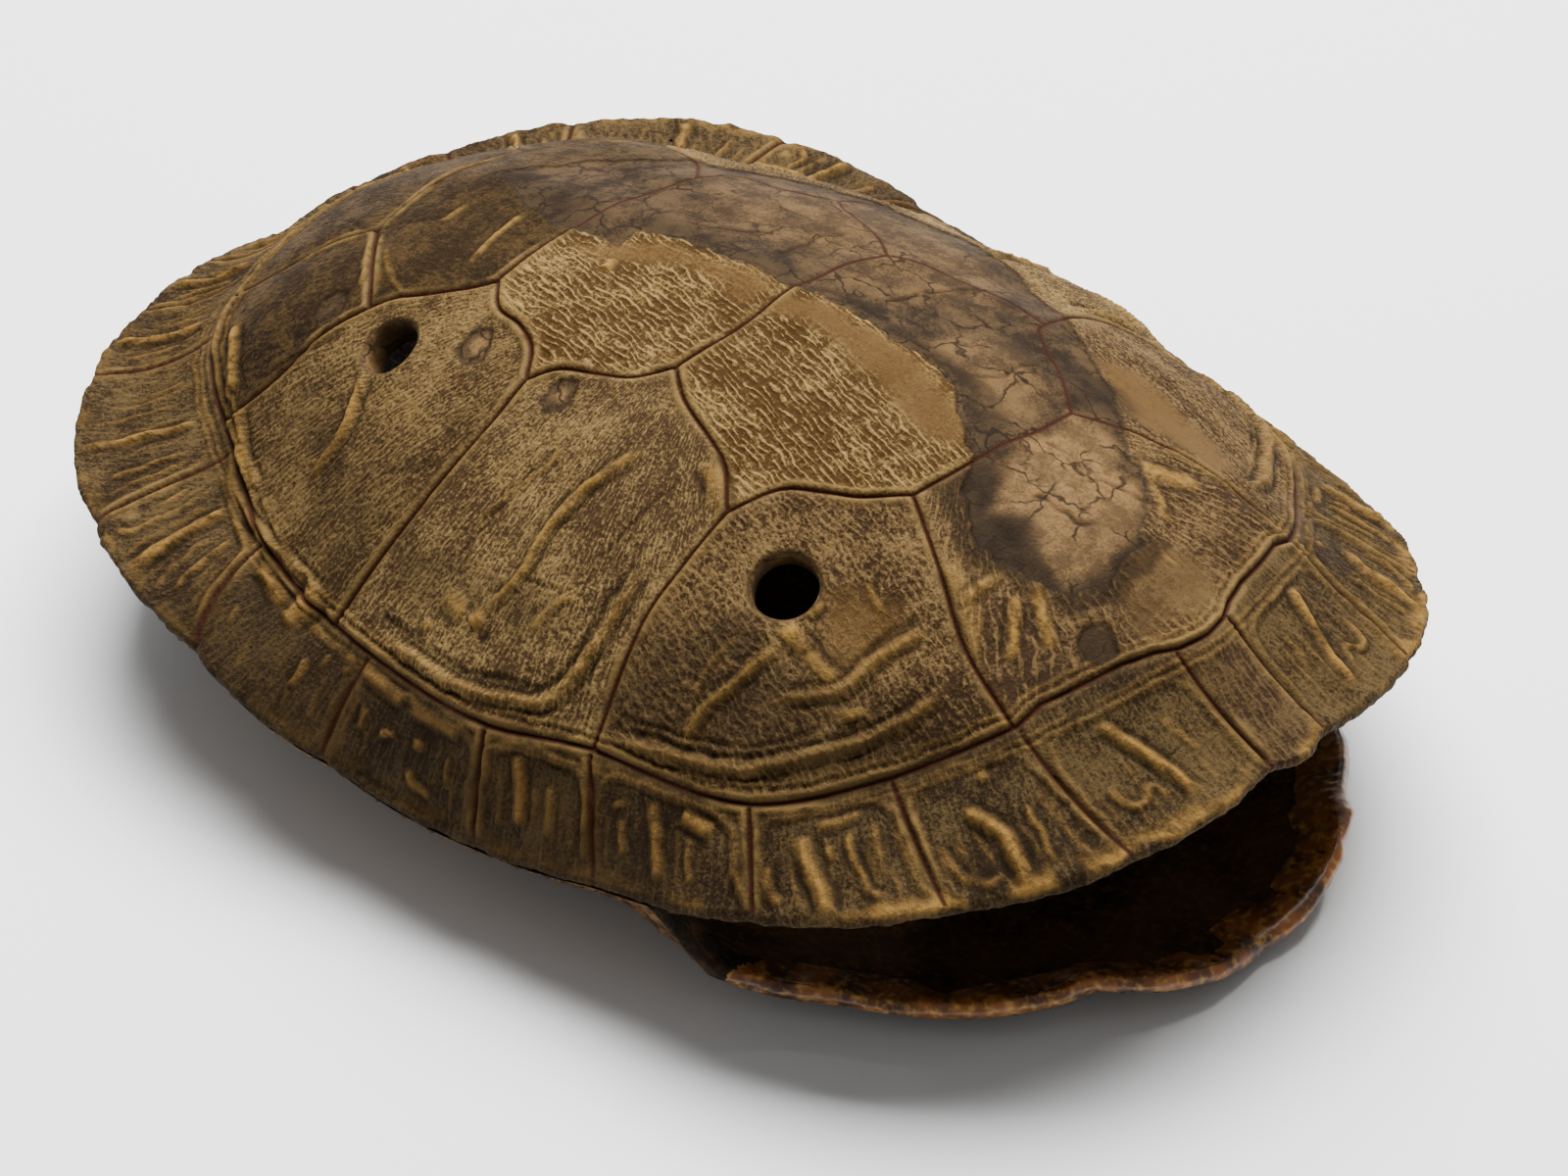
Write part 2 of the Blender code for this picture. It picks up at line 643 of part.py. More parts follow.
def plastron_loops():
    """The plate's lower and upper edges, point for point, right side then left."""
    along_bridge = RIM.station_angle(np.linspace(BRIDGE_FROM, BRIDGE_TO, BRIDGE_POINTS))
    gap = np.array([0.0, 0.0, SUTURE_GAP])
    low_bridge = rim_lower_edge(along_bridge) - gap
    high_bridge = lip_inner_edge(along_bridge) - gap
    lobes_low, lobes_high = [], []
    for lobe in (FRONT_LOBE, REAR_LOBE):
        edge = smooth_path([(x, -y, z) for x, y, z in lobe], 6.0)
        along = np.gradient(edge[:, :2], axis=0)
        along /= np.linalg.norm(along, axis=1, keepdims=True)
        inward = np.stack([-along[:, 1], along[:, 0]], -1) * -LOBE_EDGE[0]
        upper = edge + np.column_stack([inward, np.full(len(edge), LOBE_EDGE[1])])
        upper[np.abs(edge[:, 1]) < 1e-6, 1] = 0.0
        lobes_low.append(edge)
        lobes_high.append(upper)
    low = np.vstack([lobes_low[0], low_bridge, lobes_low[1]])
    high = np.vstack([lobes_high[0], high_bridge, lobes_high[1]])
    flip = np.array([1.0, -1.0, 1.0])
    low = np.vstack([low, (low * flip)[-2:0:-1]])
    high = np.vstack([high, (high * flip)[-2:0:-1]])
    return low, high


class Dish:
    """A plate that is flat in the middle and climbs to a given edge loop."""

    def __init__(self, loop, floor, shorten):
        self.loop = loop
        self.floor = floor
        on_bridge = np.clip((loop[:, 2] - 10) / 8, 0, 1)
        self.run = LOBE_RUN + (BRIDGE_RUN - shorten - LOBE_RUN) * on_bridge

    def height(self, plan):
        away = np.linalg.norm(plan[:, None] - self.loop[None, :, :2], axis=-1)
        weight = 1 / (away + 0.3) ** 4
        weight /= weight.sum(axis=1, keepdims=True)
        lift = weight @ (self.loop[:, 2] - self.floor)
        run = weight @ self.run
        return self.floor + lift * np.clip(1 - away.min(axis=1) / run, 0, 1) ** 1.5


def plastron_faces():
    """Points in mm and triangles of the plastron with its two bridges."""
    low, high = plastron_loops()
    under, over = Dish(low, 0.0, 0.0), Dish(high, PLATE, LIP_WIDTH)
    seams = [[FRONT_LOBE[0][:2], REAR_LOBE[-1][:2]]]
    for middle, edge in PLASTRON_SEAMS:
        seams += [[middle, edge], [middle, mirrored([edge])[0]]]
    seam_rows = [resample(np.array(seam, float), SEAM_STEP * 1.6) for seam in seams]
    dense = np.vstack([resample(np.array(seam, float), 0.8) for seam in seams])

    parts = []
    for loop, grooved in ((low, True), (high, False)):
        plan = loop[:, :2]
        step = PLASTRON_STEP if grooved else INNER_STEP
        flat = PointSet()
        ids = flat.add_line(plan, closed=True, merge=0.0)
        if grooved:
            for row in seam_rows:
                inner_row = row[inside_loop(row, plan * 0.985)]
                flat.add_line(inner_row, merge=2.0)
            for row in seam_rows:
                beside = offset_rows(row, LIP_OFFSET)
                flat.add_clear(beside[inside_loop(beside, plan * 0.97)], LIP_OFFSET * 0.75)
        field = hex_grid(plan.min(0), plan.max(0), step)
        flat.add_clear(field[inside_loop(field, plan)], step * 0.5)
        faces = flat.triangles(lambda middles, edge=plan: inside_loop(middles, edge))
        spots = np.array(flat.points)
        height = (under if grooved else over).height(spots)
        if grooved:
            away = np.linalg.norm(spots[:, None] - dense[None], axis=-1).min(axis=1)
            groove = PLASTRON_SEAM_DEPTH * np.exp(-(away / SEAM_HALF_WIDTH) ** 2)
            height = height + np.where(away < 3 * SEAM_HALF_WIDTH, groove, 0.0)
        points = np.column_stack([spots, height])
        points[ids] = loop
        parts.append((points, faces, ids))
    (low_points, low_faces, low_ids), (high_points, high_faces, high_ids) = parts
    base = len(low_points)
    faces = [tuple(f[::-1]) for f in low_faces]
    faces += [tuple(base + f) for f in high_faces]
    faces += strip([base + i for i in high_ids], low_ids)
    return np.vstack([low_points, high_points]), faces


# ---- objects -----------------------------------------------------------------------

def make_material(name, colour, roughness):
    material = bpy.data.materials.new(name)
    material.use_nodes = True
    shader = material.node_tree.nodes["Principled BSDF"]
    shader.inputs["Base Color"].default_value = (*colour, 1.0)
    shader.inputs["Roughness"].default_value = roughness
    shader.inputs["Metallic"].default_value = 0.0
    return material


def make_object(name, points, faces, material):
    """A closed, outward-facing solid from points in millimetres."""
    mesh = bpy.data.meshes.new(name)
    placed = (points + np.array([SHIFT_X, 0.0, 0.0])) * MM
    mesh.from_pydata(placed.tolist(), [], [tuple(map(int, f)) for f in faces])
    solid = bmesh.new()
    solid.from_mesh(mesh)
    loose = [v for v in solid.verts if not v.link_faces]
    bmesh.ops.delete(solid, geom=loose, context="VERTS")
    bmesh.ops.recalc_face_normals(solid, faces=solid.faces)
    solid.to_mesh(mesh)
    solid.free()
    mesh.materials.append(material)
    shape = bpy.data.objects.new(name, mesh)
    bpy.context.collection.objects.link(shape)
    mesh.shade_smooth()
    mesh.set_sharp_from_angle(angle=math.radians(40))
    return shape


def build():
    for old in list(bpy.data.objects):
        bpy.data.objects.remove(old, do_unlink=True)
    keratin = make_material("weathered scute keratin", (0.135, 0.085, 0.040), 0.55)
    bone = make_material("stained plastron bone", (0.150, 0.075, 0.030), 0.45)
    make_object("carapace", *carapace_faces(), keratin)
    make_object("plastron", *plastron_faces(), bone)


build()
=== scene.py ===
"""A dried turtle shell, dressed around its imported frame.

Everything is measured in millimetres and turned to metres where a mesh is made. The
shell's outside is one smooth surface, given by a polar angle round the dome and a
share s: 0 on the back, 1 on the line between costals and marginals, 2 on the rim and
3 under the rim, where the horn ends. Scutes are cut from that surface along their
seams, carved by strokes, and given their grain by a Geometry Nodes tree.
"""

import itertools
import logging
import math
from dataclasses import astuple, dataclass, field
from enum import Enum
from functools import partial

import bpy
import numpy as np
from bpy.types import ID, Material, Node, NodeSocket, NodeTree, Object
from mathutils import Matrix, Vector
from mathutils.kdtree import KDTree


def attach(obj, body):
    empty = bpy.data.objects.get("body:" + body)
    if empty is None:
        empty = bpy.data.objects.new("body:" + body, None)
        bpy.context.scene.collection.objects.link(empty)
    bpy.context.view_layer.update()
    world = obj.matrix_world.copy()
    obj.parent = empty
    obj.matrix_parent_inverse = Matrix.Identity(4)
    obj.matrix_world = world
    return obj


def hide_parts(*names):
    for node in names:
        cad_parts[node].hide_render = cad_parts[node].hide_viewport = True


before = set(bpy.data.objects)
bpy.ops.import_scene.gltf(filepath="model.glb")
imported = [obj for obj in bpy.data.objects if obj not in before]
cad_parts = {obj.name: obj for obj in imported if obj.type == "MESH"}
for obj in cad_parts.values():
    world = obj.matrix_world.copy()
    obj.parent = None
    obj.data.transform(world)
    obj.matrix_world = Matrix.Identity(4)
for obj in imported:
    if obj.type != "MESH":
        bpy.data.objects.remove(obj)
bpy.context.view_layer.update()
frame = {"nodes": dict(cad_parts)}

MM = 0.001
TURN = 2 * math.pi
FAR = 1e9
# where the drawing's origin lies in the frame, in mm
SHIFT_X = 1.7
# scutes down the back, and on each side above and along the rim
VERTEBRALS, COSTALS, MARGINALS = 5, 4, 12
# horn and dry bone both bend light about this much
KERATIN_IOR = 1.54
LOG = logging.getLogger("turtle_shell")
Array = np.ndarray


class Side(Enum):
    """The animal's own right and left."""

    RIGHT = -1
    LEFT = 1


class Part(Enum):
    """The kinds of scute on the carapace."""

    NUCHAL = "nuchal"
    VERTEBRAL = "vertebral"
    COSTAL = "costal"
    MARGINAL = "marginal"


# ---- curves and noise ----

def lengths(vectors: Array) -> Array:
    """The length of each vector."""
    return np.linalg.norm(vectors, axis=-1)


def unit(vectors: Array) -> Array:
    """Vectors scaled to length 1."""
    return vectors / lengths(vectors)[..., None]


def run_along(line: Array) -> Array:
    """How far along a polyline each of its points lies."""
    return np.concatenate([[0], np.cumsum(lengths(np.diff(line, axis=0)))])


def resample(line: Array, step: float) -> Array:
    """Space points evenly along a polyline.

    Args:
        line: Points in order, one a row.
        step: Distance between the new points.

    Returns:
        The new points, both ends kept.
    """
    run = run_along(line)
    count = max(2, int(round(run[-1] / step)) + 1)
    at = np.linspace(0, run[-1], count)
    return np.stack([np.interp(at, run, line[:, k]) for k in range(line.shape[1])], -1)


def smooth_path(points: Array | list | tuple, step: float) -> Array:
    """Draw a Catmull-Rom curve through points.

    Args:
        points: The points that the curve passes through.
        step: Distance between the points returned.

    Returns:
        Points along the curve.
    """
    p = np.array(points, float)
    p = np.vstack([2 * p[0] - p[1], p, 2 * p[-1] - p[-2]])
    dense = [p[1]]
    for a, b, c, d in zip(p, p[1:], p[2:], p[3:]):
        for u in np.linspace(0, 1, 13)[1:]:
            dense.append(0.5 * (2 * b + (c - a) * u + (2 * a - 5 * b + 4 * c - d) * u**2
                                + (3 * b - a - 3 * c + d) * u**3))
    return resample(np.array(dense), step)


def ramp(value: Array, low: float, high: float) -> Array:
    """Climb smoothly from 0 at low to 1 at high."""
    t = np.clip((value - low) / (high - low), 0, 1)
    return t * t * (3 - 2 * t)


def bump(distance: Array, half_width: float) -> Array:
    """A rounded ridge across a line: 1 on it, near 0 at twice the half width."""
    return np.exp(-(distance / half_width) ** 2)


def noise(points: Array, size: float, seed: int) -> Array:
    """Smooth random values at points in space.

    Args:
        points: Places in mm.
        size: Width in mm of one lump.
        seed: Picks the pattern.

    Returns:
        A value from 0 to 1 at each point.
    """
    place = points / size
    cell = np.floor(place).astype(np.int64)
    part = place - cell
    part = part * part * (3 - 2 * part)
    total = np.zeros(len(points))
    for corner in itertools.product((0, 1), repeat=3):
        c = cell + np.array(corner)
        key = c[:, 0] * 374761393 + c[:, 1] * 668265263 + c[:, 2] * 1440662683 + seed * 7919
        key = (key ^ (key >> 13)) * 1274126177 & 0x7FFFFFFF
        value = ((key ^ (key >> 16)) & 0xFFFF) / 65535
        weight = np.prod(np.where(np.array(corner) == 1, part, 1 - part), axis=1)
        total += weight * value
    return total


def swing(points: Array, height: float, size: float, seed: int) -> Array:
    """Noise that swings by half a height to both sides of nought."""
    return height * (noise(points, size, seed) - 0.5)


def nearest_share(points: Array, a: Array, b: Array) -> Array:
    """How far from a to b the spot nearest to each point lies, from 0 to 1."""
    ab = b - a
    return np.clip((points - a) @ ab / max(float(ab @ ab), 1e-9), 0, 1)


def to_path(points: Array, path: Array) -> tuple[Array, Array]:
    """Measure how far points are from a polyline.

    Args:
        points: Places in space.
        path: The polyline's points.

    Returns:
        The distance of each point, and how far along the line it lies from 0 to 1.
    """
    best = np.full(len(points), FAR)
    along = np.zeros(len(points))
    run = run_along(path)
    for i, (a, b) in enumerate(zip(path, path[1:])):
        t = nearest_share(points, a, b)
        distance = lengths(points - (a + t[:, None] * (b - a)))
        near = distance < best
        best[near] = distance[near]
        along[near] = (run[i] + t[near] * (run[i + 1] - run[i])) / run[-1]
    return best, along


def search_tree(points: Array) -> KDTree:
    """A tree that finds the nearest of some points; flat ones are put at height 0."""
    tree = KDTree(len(points))
    for i, point in enumerate(points.tolist()):
        tree.insert((*point, 0.0)[:3], i)
    tree.balance()
    return tree


# ---- the form of the carapace ----

@dataclass(frozen=True)
class Ring:
    """A closed curve round the shell, through stations mirrored left and right.

    front and rear are (x, y, z) on the midline, seams are (x, |y|, z) from head to tail.
    """

    front: tuple
    rear: tuple
    seams: tuple
    centre_x: float

    def stations(self) -> Array:
        """All stations from the front, down the right side and back up the left."""
        right = [(x, -y, z) for x, y, z in self.seams]
        left = [(x, y, z) for x, y, z in reversed(self.seams)]
        return np.array([self.front] + right + [self.rear] + left, float)

    def angles(self) -> Array:
        """The polar angle of every station."""
        place = self.stations()
        return np.arctan2(place[:, 1], place[:, 0] - self.centre_x) % TURN

    def folded(self) -> Array:
        """Angles from the front to each seam of one side, and to the rear."""
        return (-self.angles()[1:len(self.seams) + 2]) % TURN

    def _through(self, values: Array, angle: Array) -> Array:
        """Follow station values round the ring with a smooth curve.

        Args:
            values: One value for each station.
            angle: Where to read the curve.

        Returns:
            The value at each angle.
        """
        angles = self.angles()
        order = np.argsort(angles)
        a, v = angles[order], values[order]
        a = np.concatenate([a[-2:] - TURN, a, a[:2] + TURN])
        v = np.concatenate([v[-2:], v, v[:2]])
        slope = np.zeros_like(v)
        slope[1:-1] = (v[2:] - v[:-2]) / (a[2:] - a[:-2])
        q = np.asarray(angle, float) % TURN
        i = np.clip(np.searchsorted(a, q, side="right") - 1, 1, len(a) - 3)
        h = a[i + 1] - a[i]
        u = (q - a[i]) / h
        return v[i] * (2 * u**3 - 3 * u**2 + 1) + h * slope[i] * (u**3 - 2 * u**2 + u) \
            + v[i + 1] * (3 * u**2 - 2 * u**3) + h * slope[i + 1] * (u**3 - u**2)

    def radius(self, angle: Array) -> Array:
        """Distance of the curve from the polar centre."""
        place = self.stations()
        return self._through(np.hypot(place[:, 0] - self.centre_x, place[:, 1]), angle)

    def height(self, angle: Array) -> Array:
        """Height of the curve above the ground."""
        return self._through(self.stations()[:, 2], angle)


@dataclass(frozen=True)
class ShellForm:
    """The smooth surfaces of the carapace, with the part's own sizes in mm."""

    centre_x: float = 4.0
    dome_height: float = 84.0
    wall: float = 3.4
    keel_height: float = 1.6
    keel_half_width: float = 7.0
    fullness: tuple = (2.1, 2.0, 2.3)
    shoulder: float = 1.05
    margin_sag: tuple = (1.2, -1.0, 2.5)
    scallops: tuple = (0.9, 0.85, 0.8, 0.7, 0.55, 0.5, 0.5, 1.7, 1.1, 1.65, 0.4, 0.6, 0.6)
    rim_thickness: float = 2.6
    rim_undercut: float = 0.8
    lip_width: float = 5.5
    lip_rise: float = 2.0
    lip_s: float = 1.75
    nose: float = 0.3
    nose_round: float = 0.5
    bridge: tuple = (4.62, 8.25)
    rim: Ring = Ring(
        (125.0, 0.0, 51.0), (-127.0, 0.0, 34.5),
        ((123.5, 6.5, 50.5), (119.0, 35.0, 46.5), (102.0, 60.0, 41.0),
         (76.5, 77.5, 34.5), (47.0, 84.5, 28.5), (23.0, 89.0, 25.0), (-10.0, 93.0, 26.8),
         (-42.0, 93.5, 32.8), (-76.0, 87.0, 38.0), (-109.0, 60.5, 39.5),
         (-122.0, 38.5, 37.0), (-127.5, 18.0, 35.5)), 4.0)
    inner: Ring = Ring(
        (104.5, 0.0, 62.0), (-108.0, 0.0, 50.0),
        ((103.5, 6.5, 61.5), (95.0, 34.5, 56.5), (82.5, 51.5, 49.5),
         (66.5, 68.0, 44.5), (38.0, 76.0, 43.0), (19.5, 82.5, 42.0), (-10.0, 82.5, 40.0),
         (-46.5, 75.0, 40.5), (-69.0, 63.0, 42.5), (-95.5, 45.0, 45.5),
         (-104.0, 27.0, 48.0), (-107.5, 11.0, 49.5)), 4.0)

    def by_direction(self, values: tuple, angle: Array) -> Array:
        """Blend (head, flank, tail) values by the direction an angle points in."""
        head, flank, tail = values
        facing = np.cos(angle)
        return flank + (head - flank) * np.clip(facing, 0, 1) ** 2 \
            + (tail - flank) * np.clip(-facing, 0, 1) ** 2

    def fold(self, angle: Array) -> Array:
        """The angle from the front, the same on both sides."""
        return np.abs((np.asarray(angle) + math.pi) % TURN - math.pi)

    def polar(self, radius: Array, angle: Array, height: Array) -> Array:
        """Points from a radius, an angle and a height."""
        return np.stack([self.centre_x + radius * np.cos(angle),
                         radius * np.sin(angle), height], -1)

    def bulge(self, angle: Array) -> Array:
        """How far the rim stands out between two seams."""
        folded = self.fold(angle)
        seams = np.concatenate([[-self.rim.folded()[0]], self.rim.folded()])
        i = np.clip(np.searchsorted(seams, folded, side="right") - 1, 0, len(seams) - 2)
        share = np.clip((folded - seams[i]) / (seams[i + 1] - seams[i]), 0, 1)
        return np.array(self.scallops)[i] * np.sin(math.pi * share) ** 0.7

    def at_seams(self, places: Array) -> Array:
        """Angles from the front of places counted in rim seams, 0 at the front."""
        seams = np.concatenate([[0], self.rim.folded()])
        return np.interp(places, np.arange(len(seams)), seams)

    def bridge_share(self, angle: Array) -> Array:
        """1 along the bridges and 0 well away from them."""
        ends = self.at_seams(self.bridge)
        fade = math.radians(6)
        folded = self.fold(angle)
        return np.clip((folded - ends[0]) / fade + 1, 0, 1) \
            * np.clip((ends[1] - folded) / fade + 1, 0, 1)

    def low_edge(self, angle: Array) -> Array:
        """The rim's lower edge."""
        return self.polar(self.rim.radius(angle) + self.bulge(angle) - self.rim_undercut,
                          angle, self.rim.height(angle) - self.rim_thickness)

    def knee(self, angle: Array) -> Array:
        """Where the lip under the rim ends and the wall inside begins."""
        rise = self.lip_rise * (1 - self.bridge_share(angle))
        return self.polar(self.rim.radius(angle) - self.rim_undercut - self.lip_width,
                          angle, self.rim.height(angle) - self.rim_thickness + rise)

    def outer(self, angle: Array, s: Array) -> Array:
        """Points of the smooth outside, from the back at s 0 to under the rim at s 3.

        Args:
            angle: Polar angles.
            s: Shares.

        Returns:
            One point for each pair.
        """
        angle, s = np.broadcast_arrays(np.asarray(angle, float), np.asarray(s, float))
        t = np.clip(s, 0, 1)
        rise = np.clip(1 - t ** self.by_direction(self.fullness, angle), 0, 1)
        edge = self.inner.height(angle)
        radius = self.inner.radius(angle) * t
        height = edge + (self.dome_height - edge) * rise ** (1 / self.shoulder)
        across = radius * np.sin(angle) / self.keel_half_width
        height = height + self.keel_height * np.exp(-across ** 2) * np.sqrt(1 - t)
        dome = self.polar(radius, angle, height)
        u = np.clip(s - 1, 0, 1)[..., None]
        start = self.polar(self.inner.radius(angle), angle, edge)
        rim = self.polar(self.rim.radius(angle) + self.bulge(angle), angle,
                         self.rim.height(angle))
        strip = start + (rim - start) * u
        sag = self.by_direction(self.margin_sag, angle)
        strip[..., 2] -= sag * 4 * u[..., 0] * (1 - u[..., 0])
        low, knee = self.low_edge(angle), self.knee(angle)
        w = np.clip((s - 2) / self.nose, 0, 1)[..., None]
        out = np.stack([np.cos(angle), np.sin(angle), np.zeros_like(angle)], -1)
        edge_band = rim + (low - rim) * w + out * self.nose_round * np.sin(math.pi * w)
        v = np.clip((s - 2 - self.nose) / (1 - self.nose), 0, 1)[..., None]
        under = low + (knee - low) * v
        s3 = s[..., None]
        return np.where(s3 <= 1, dome, np.where(
            s3 <= 2, strip, np.where(s3 <= 2 + self.nose, edge_band, under)))

    def outward(self, angle: Array, s: Array) -> Array:
        """Unit normals of the outside."""
        turn, share = 0.004, 0.012
        low, high = np.clip(s - share, 0.004, 3), np.clip(s + share, 0.01, 3)
        along = self.outer(angle + turn, s) - self.outer(angle - turn, s)
        down = self.outer(angle, high) - self.outer(angle, low)
        normal = np.cross(down, along)
        normal /= np.linalg.norm(normal, axis=-1, keepdims=True) + 1e-12
        return np.where((s < 0.02)[..., None], np.array([0.0, 0.0, 1.0]), normal)

    def inside(self, angle: Array, s: Array) -> Array:
        """Points of the bone inside, from the back at s 0 to the knee at lip_s."""
        t = np.minimum(s, 1)
        wall = self.outer(angle, t) - self.wall * self.outward(angle, t)
        climb = np.clip((s - 1) / (self.lip_s - 1), 0, 1)[..., None]
        return wall + (self.knee(angle) - wall) * climb

    def to_polar(self, plan: Array) -> tuple[Array, Array]:
        """(x, y) places on the dome, seen from above, as an angle and a share."""
        plan = np.asarray(plan, float)
        dx, y = plan[:, 0] - self.centre_x, plan[:, 1]
        angle = np.arctan2(y, dx)
        return angle, np.hypot(dx, y) / self.inner.radius(angle)

    def marginal_seam(self, i: int, u: Array | float) -> Array:
        """Angle from the front of seam i of the marginals, u from the costals to the rim."""
        inner, rim = self.inner.folded()[i], self.rim.folded()[i]
        return inner + (rim - inner) * u

    def marginal_polar(self, side: Side, index: int, spots: Array) -> tuple[Array, Array]:
        """Places on a marginal scute as an angle and a share.

        Args:
            side: Which flank.
            index: 1 at the head to 12 at the tail.
            spots: Rows of (share from the seam ahead to the seam behind, share from
                the costals to the rim).

        Returns:
            The angle and the share s of each place.
        """
        spots = np.asarray(spots, float)
        u = np.clip(spots[:, 1], 0, 1)
        ahead, behind = (self.marginal_seam(i, u) for i in (index - 1, index))
        return side.value * (ahead + (behind - ahead) * spots[:, 0]), 1 + spots[:, 1]


class FlatMap:
    """The outside unrolled: distance along each meridian, by polar angle."""

    def __init__(self, form: ShellForm) -> None:
        """Measure the meridians of a form."""
        self.angles = np.linspace(0, TURN, 481)
        self.shares = np.linspace(0, 3, 241)
        a, s = np.meshgrid(self.angles, self.shares, indexing="ij")
        steps = lengths(np.diff(form.outer(a, s), axis=1))
        self.run = np.concatenate([np.zeros((len(self.angles), 1)),
                                   np.cumsum(steps, axis=1)], axis=1)

    def _row(self, angle: Array) -> tuple[Array, Array]:
        """The table row just before an angle, and the share of the way to the next."""
        place = (np.asarray(angle, float) % TURN) / self.angles[1]
        i = np.clip(place.astype(int), 0, len(self.angles) - 2)
        return i, place - i

    def flatten(self, angle: Array, s: Array) -> Array:
        """Angles and shares to places on the flat."""
        i, f = self._row(angle)
        j = np.clip((np.asarray(s) / self.shares[1]).astype(int), 0, len(self.shares) - 2)
        g = s / self.shares[1] - j
        low = self.run[i, j] * (1 - g) + self.run[i, j + 1] * g
        high = self.run[i + 1, j] * (1 - g) + self.run[i + 1, j + 1] * g
        run = low * (1 - f) + high * f
        return np.stack([run * np.cos(angle), run * np.sin(angle)], -1)

    def raise_up(self, flat: Array) -> tuple[Array, Array]:
        """Places on the flat back to angles and shares.

        Args:
            flat: Rows of x and y.

        Returns:
            The angle and the share of each place.
        """
        angle = np.arctan2(flat[:, 1], flat[:, 0])
        share = np.zeros(len(flat))
        for start in range(0, len(flat), 20000):
            part = slice(start, start + 20000)
            run = np.hypot(flat[part, 0], flat[part, 1])
            i, f = self._row(angle[part])
            rows = self.run[i] * (1 - f)[:, None] + self.run[i + 1] * f[:, None]
            j = np.clip((rows < run[:, None]).sum(1) - 1, 0, len(self.shares) - 2)
            k = np.arange(len(j))
            between = (run - rows[k, j]) / (rows[k, j + 1] - rows[k, j])
            share[part] = (j + between) * self.shares[1]
        return angle, share


# ---- seams and scutes ----

@dataclass(frozen=True)
class SeamPlan:
    """Where the seams run on the dome, as (x, y) from above; the left has its own corners."""

    corners: dict = field(default_factory=lambda: {
        Side.RIGHT: {"v12": (56, -19), "v2c12": (34, -40), "v23": (7, -25),
                     "v3c23": (-15, -39), "v34": (-37, -25), "v4c34": (-58, -37),
                     "v45": (-76, -19)},
        Side.LEFT: {"v12": (59, 17), "v2c12": (37, 35), "v23": (9, 25),
                    "v3c23": (-15, 38), "v34": (-34, 21), "v4c34": (-58, 36),
                    "v45": (-76, 18)}})
    sides: tuple = (
        ("v12", ((50, -24.5), (44, -28), (38.5, -32)), "v2c12"),
        ("v2c12", ((28, -34.5), (22, -32), (13, -29)), "v23"),
        ("v23", ((2, -30), (-4, -32.5), (-11, -35)), "v3c23"),
        ("v3c23", ((-19, -34), (-25, -31), (-32, -29.5)), "v34"),
        ("v34", ((-41, -28), (-48, -31.5), (-54, -34)), "v4c34"),
        ("v4c34", ((-62, -33), (-69, -26)), "v45"))
    flanks: tuple = (
        ("v12", ((68, -25.5), (80, -32)), (94, -35)),
        ("v2c12", ((33.5, -50), (33.5, -60)), (38, -76)),
        ("v3c23", ((-15, -48), (-16.5, -60)), (-20, -80)),
        ("v4c34", ((-64, -43), (-68, -51)), (-76, -60)),
        ("v45", ((-83, -22), (-90, -28)), (-100, -36)))
    crossings: tuple = (
        ("v12", ((58, -9), (60, 3))), ("v23", ((9, -13), (9.5, 2), (8, 15))),
        ("v34", ((-36, -12), (-34, 2))), ("v45", ((-77.5, -7), (-77, 8))))
    # the seam above the marginals: degrees from the head, and the share s there
    border: tuple = ((0, 0.993), (3.2, 0.99), (5.5, 0.976), (9, 0.966), (18, 0.967),
                     (21, 0.984), (33, 0.992), (47, 0.993), (66, 0.986), (79, 0.99),
                     (100, 0.986), (180, 0.985))

    def turn(self, side: Side, points: tuple) -> list:
        """Points of the right side, put on a side."""
        return [(x, y if side is Side.RIGHT else -y) for x, y in points]

    def side_paths(self, side: Side) -> list:
        """The seams between the vertebrals and the costals, head to tail."""
        own = self.corners[side]
        return [[own[start]] + self.turn(side, between) + [own[end]]
                for start, between, end in self.sides]

    def flank_paths(self, side: Side) -> list:
        """The seams that run down a flank, from the back to the marginals."""
        own = self.corners[side]
        return [[own[start]] + self.turn(side, between + (foot,))
                for start, between, foot in self.flanks]

    def cross_paths(self) -> list:
        """The seams across the back, from the right to the left."""
        right, left = (self.corners[side] for side in Side)
        return [[right[name], *between, left[name]] for name, between in self.crossings]


@dataclass(frozen=True)
class ScuteKind:
    """One scute of the carapace: its kind, its side and its number from the head."""

    part: Part
    side: Side | None
    number: int

    def piece(self) -> str:
        """The name of the piece that the scute belongs to."""
        if self.part is Part.NUCHAL:
            return "nuchal_scute"
        if self.part is Part.VERTEBRAL:
            return f"vertebral_scute_{self.number}"
        if self.part is Part.COSTAL:
            return f"costal_scute_{self.side.name.lower()}_{self.number}"
        return f"marginal_scutes_{self.side.name.lower()}"


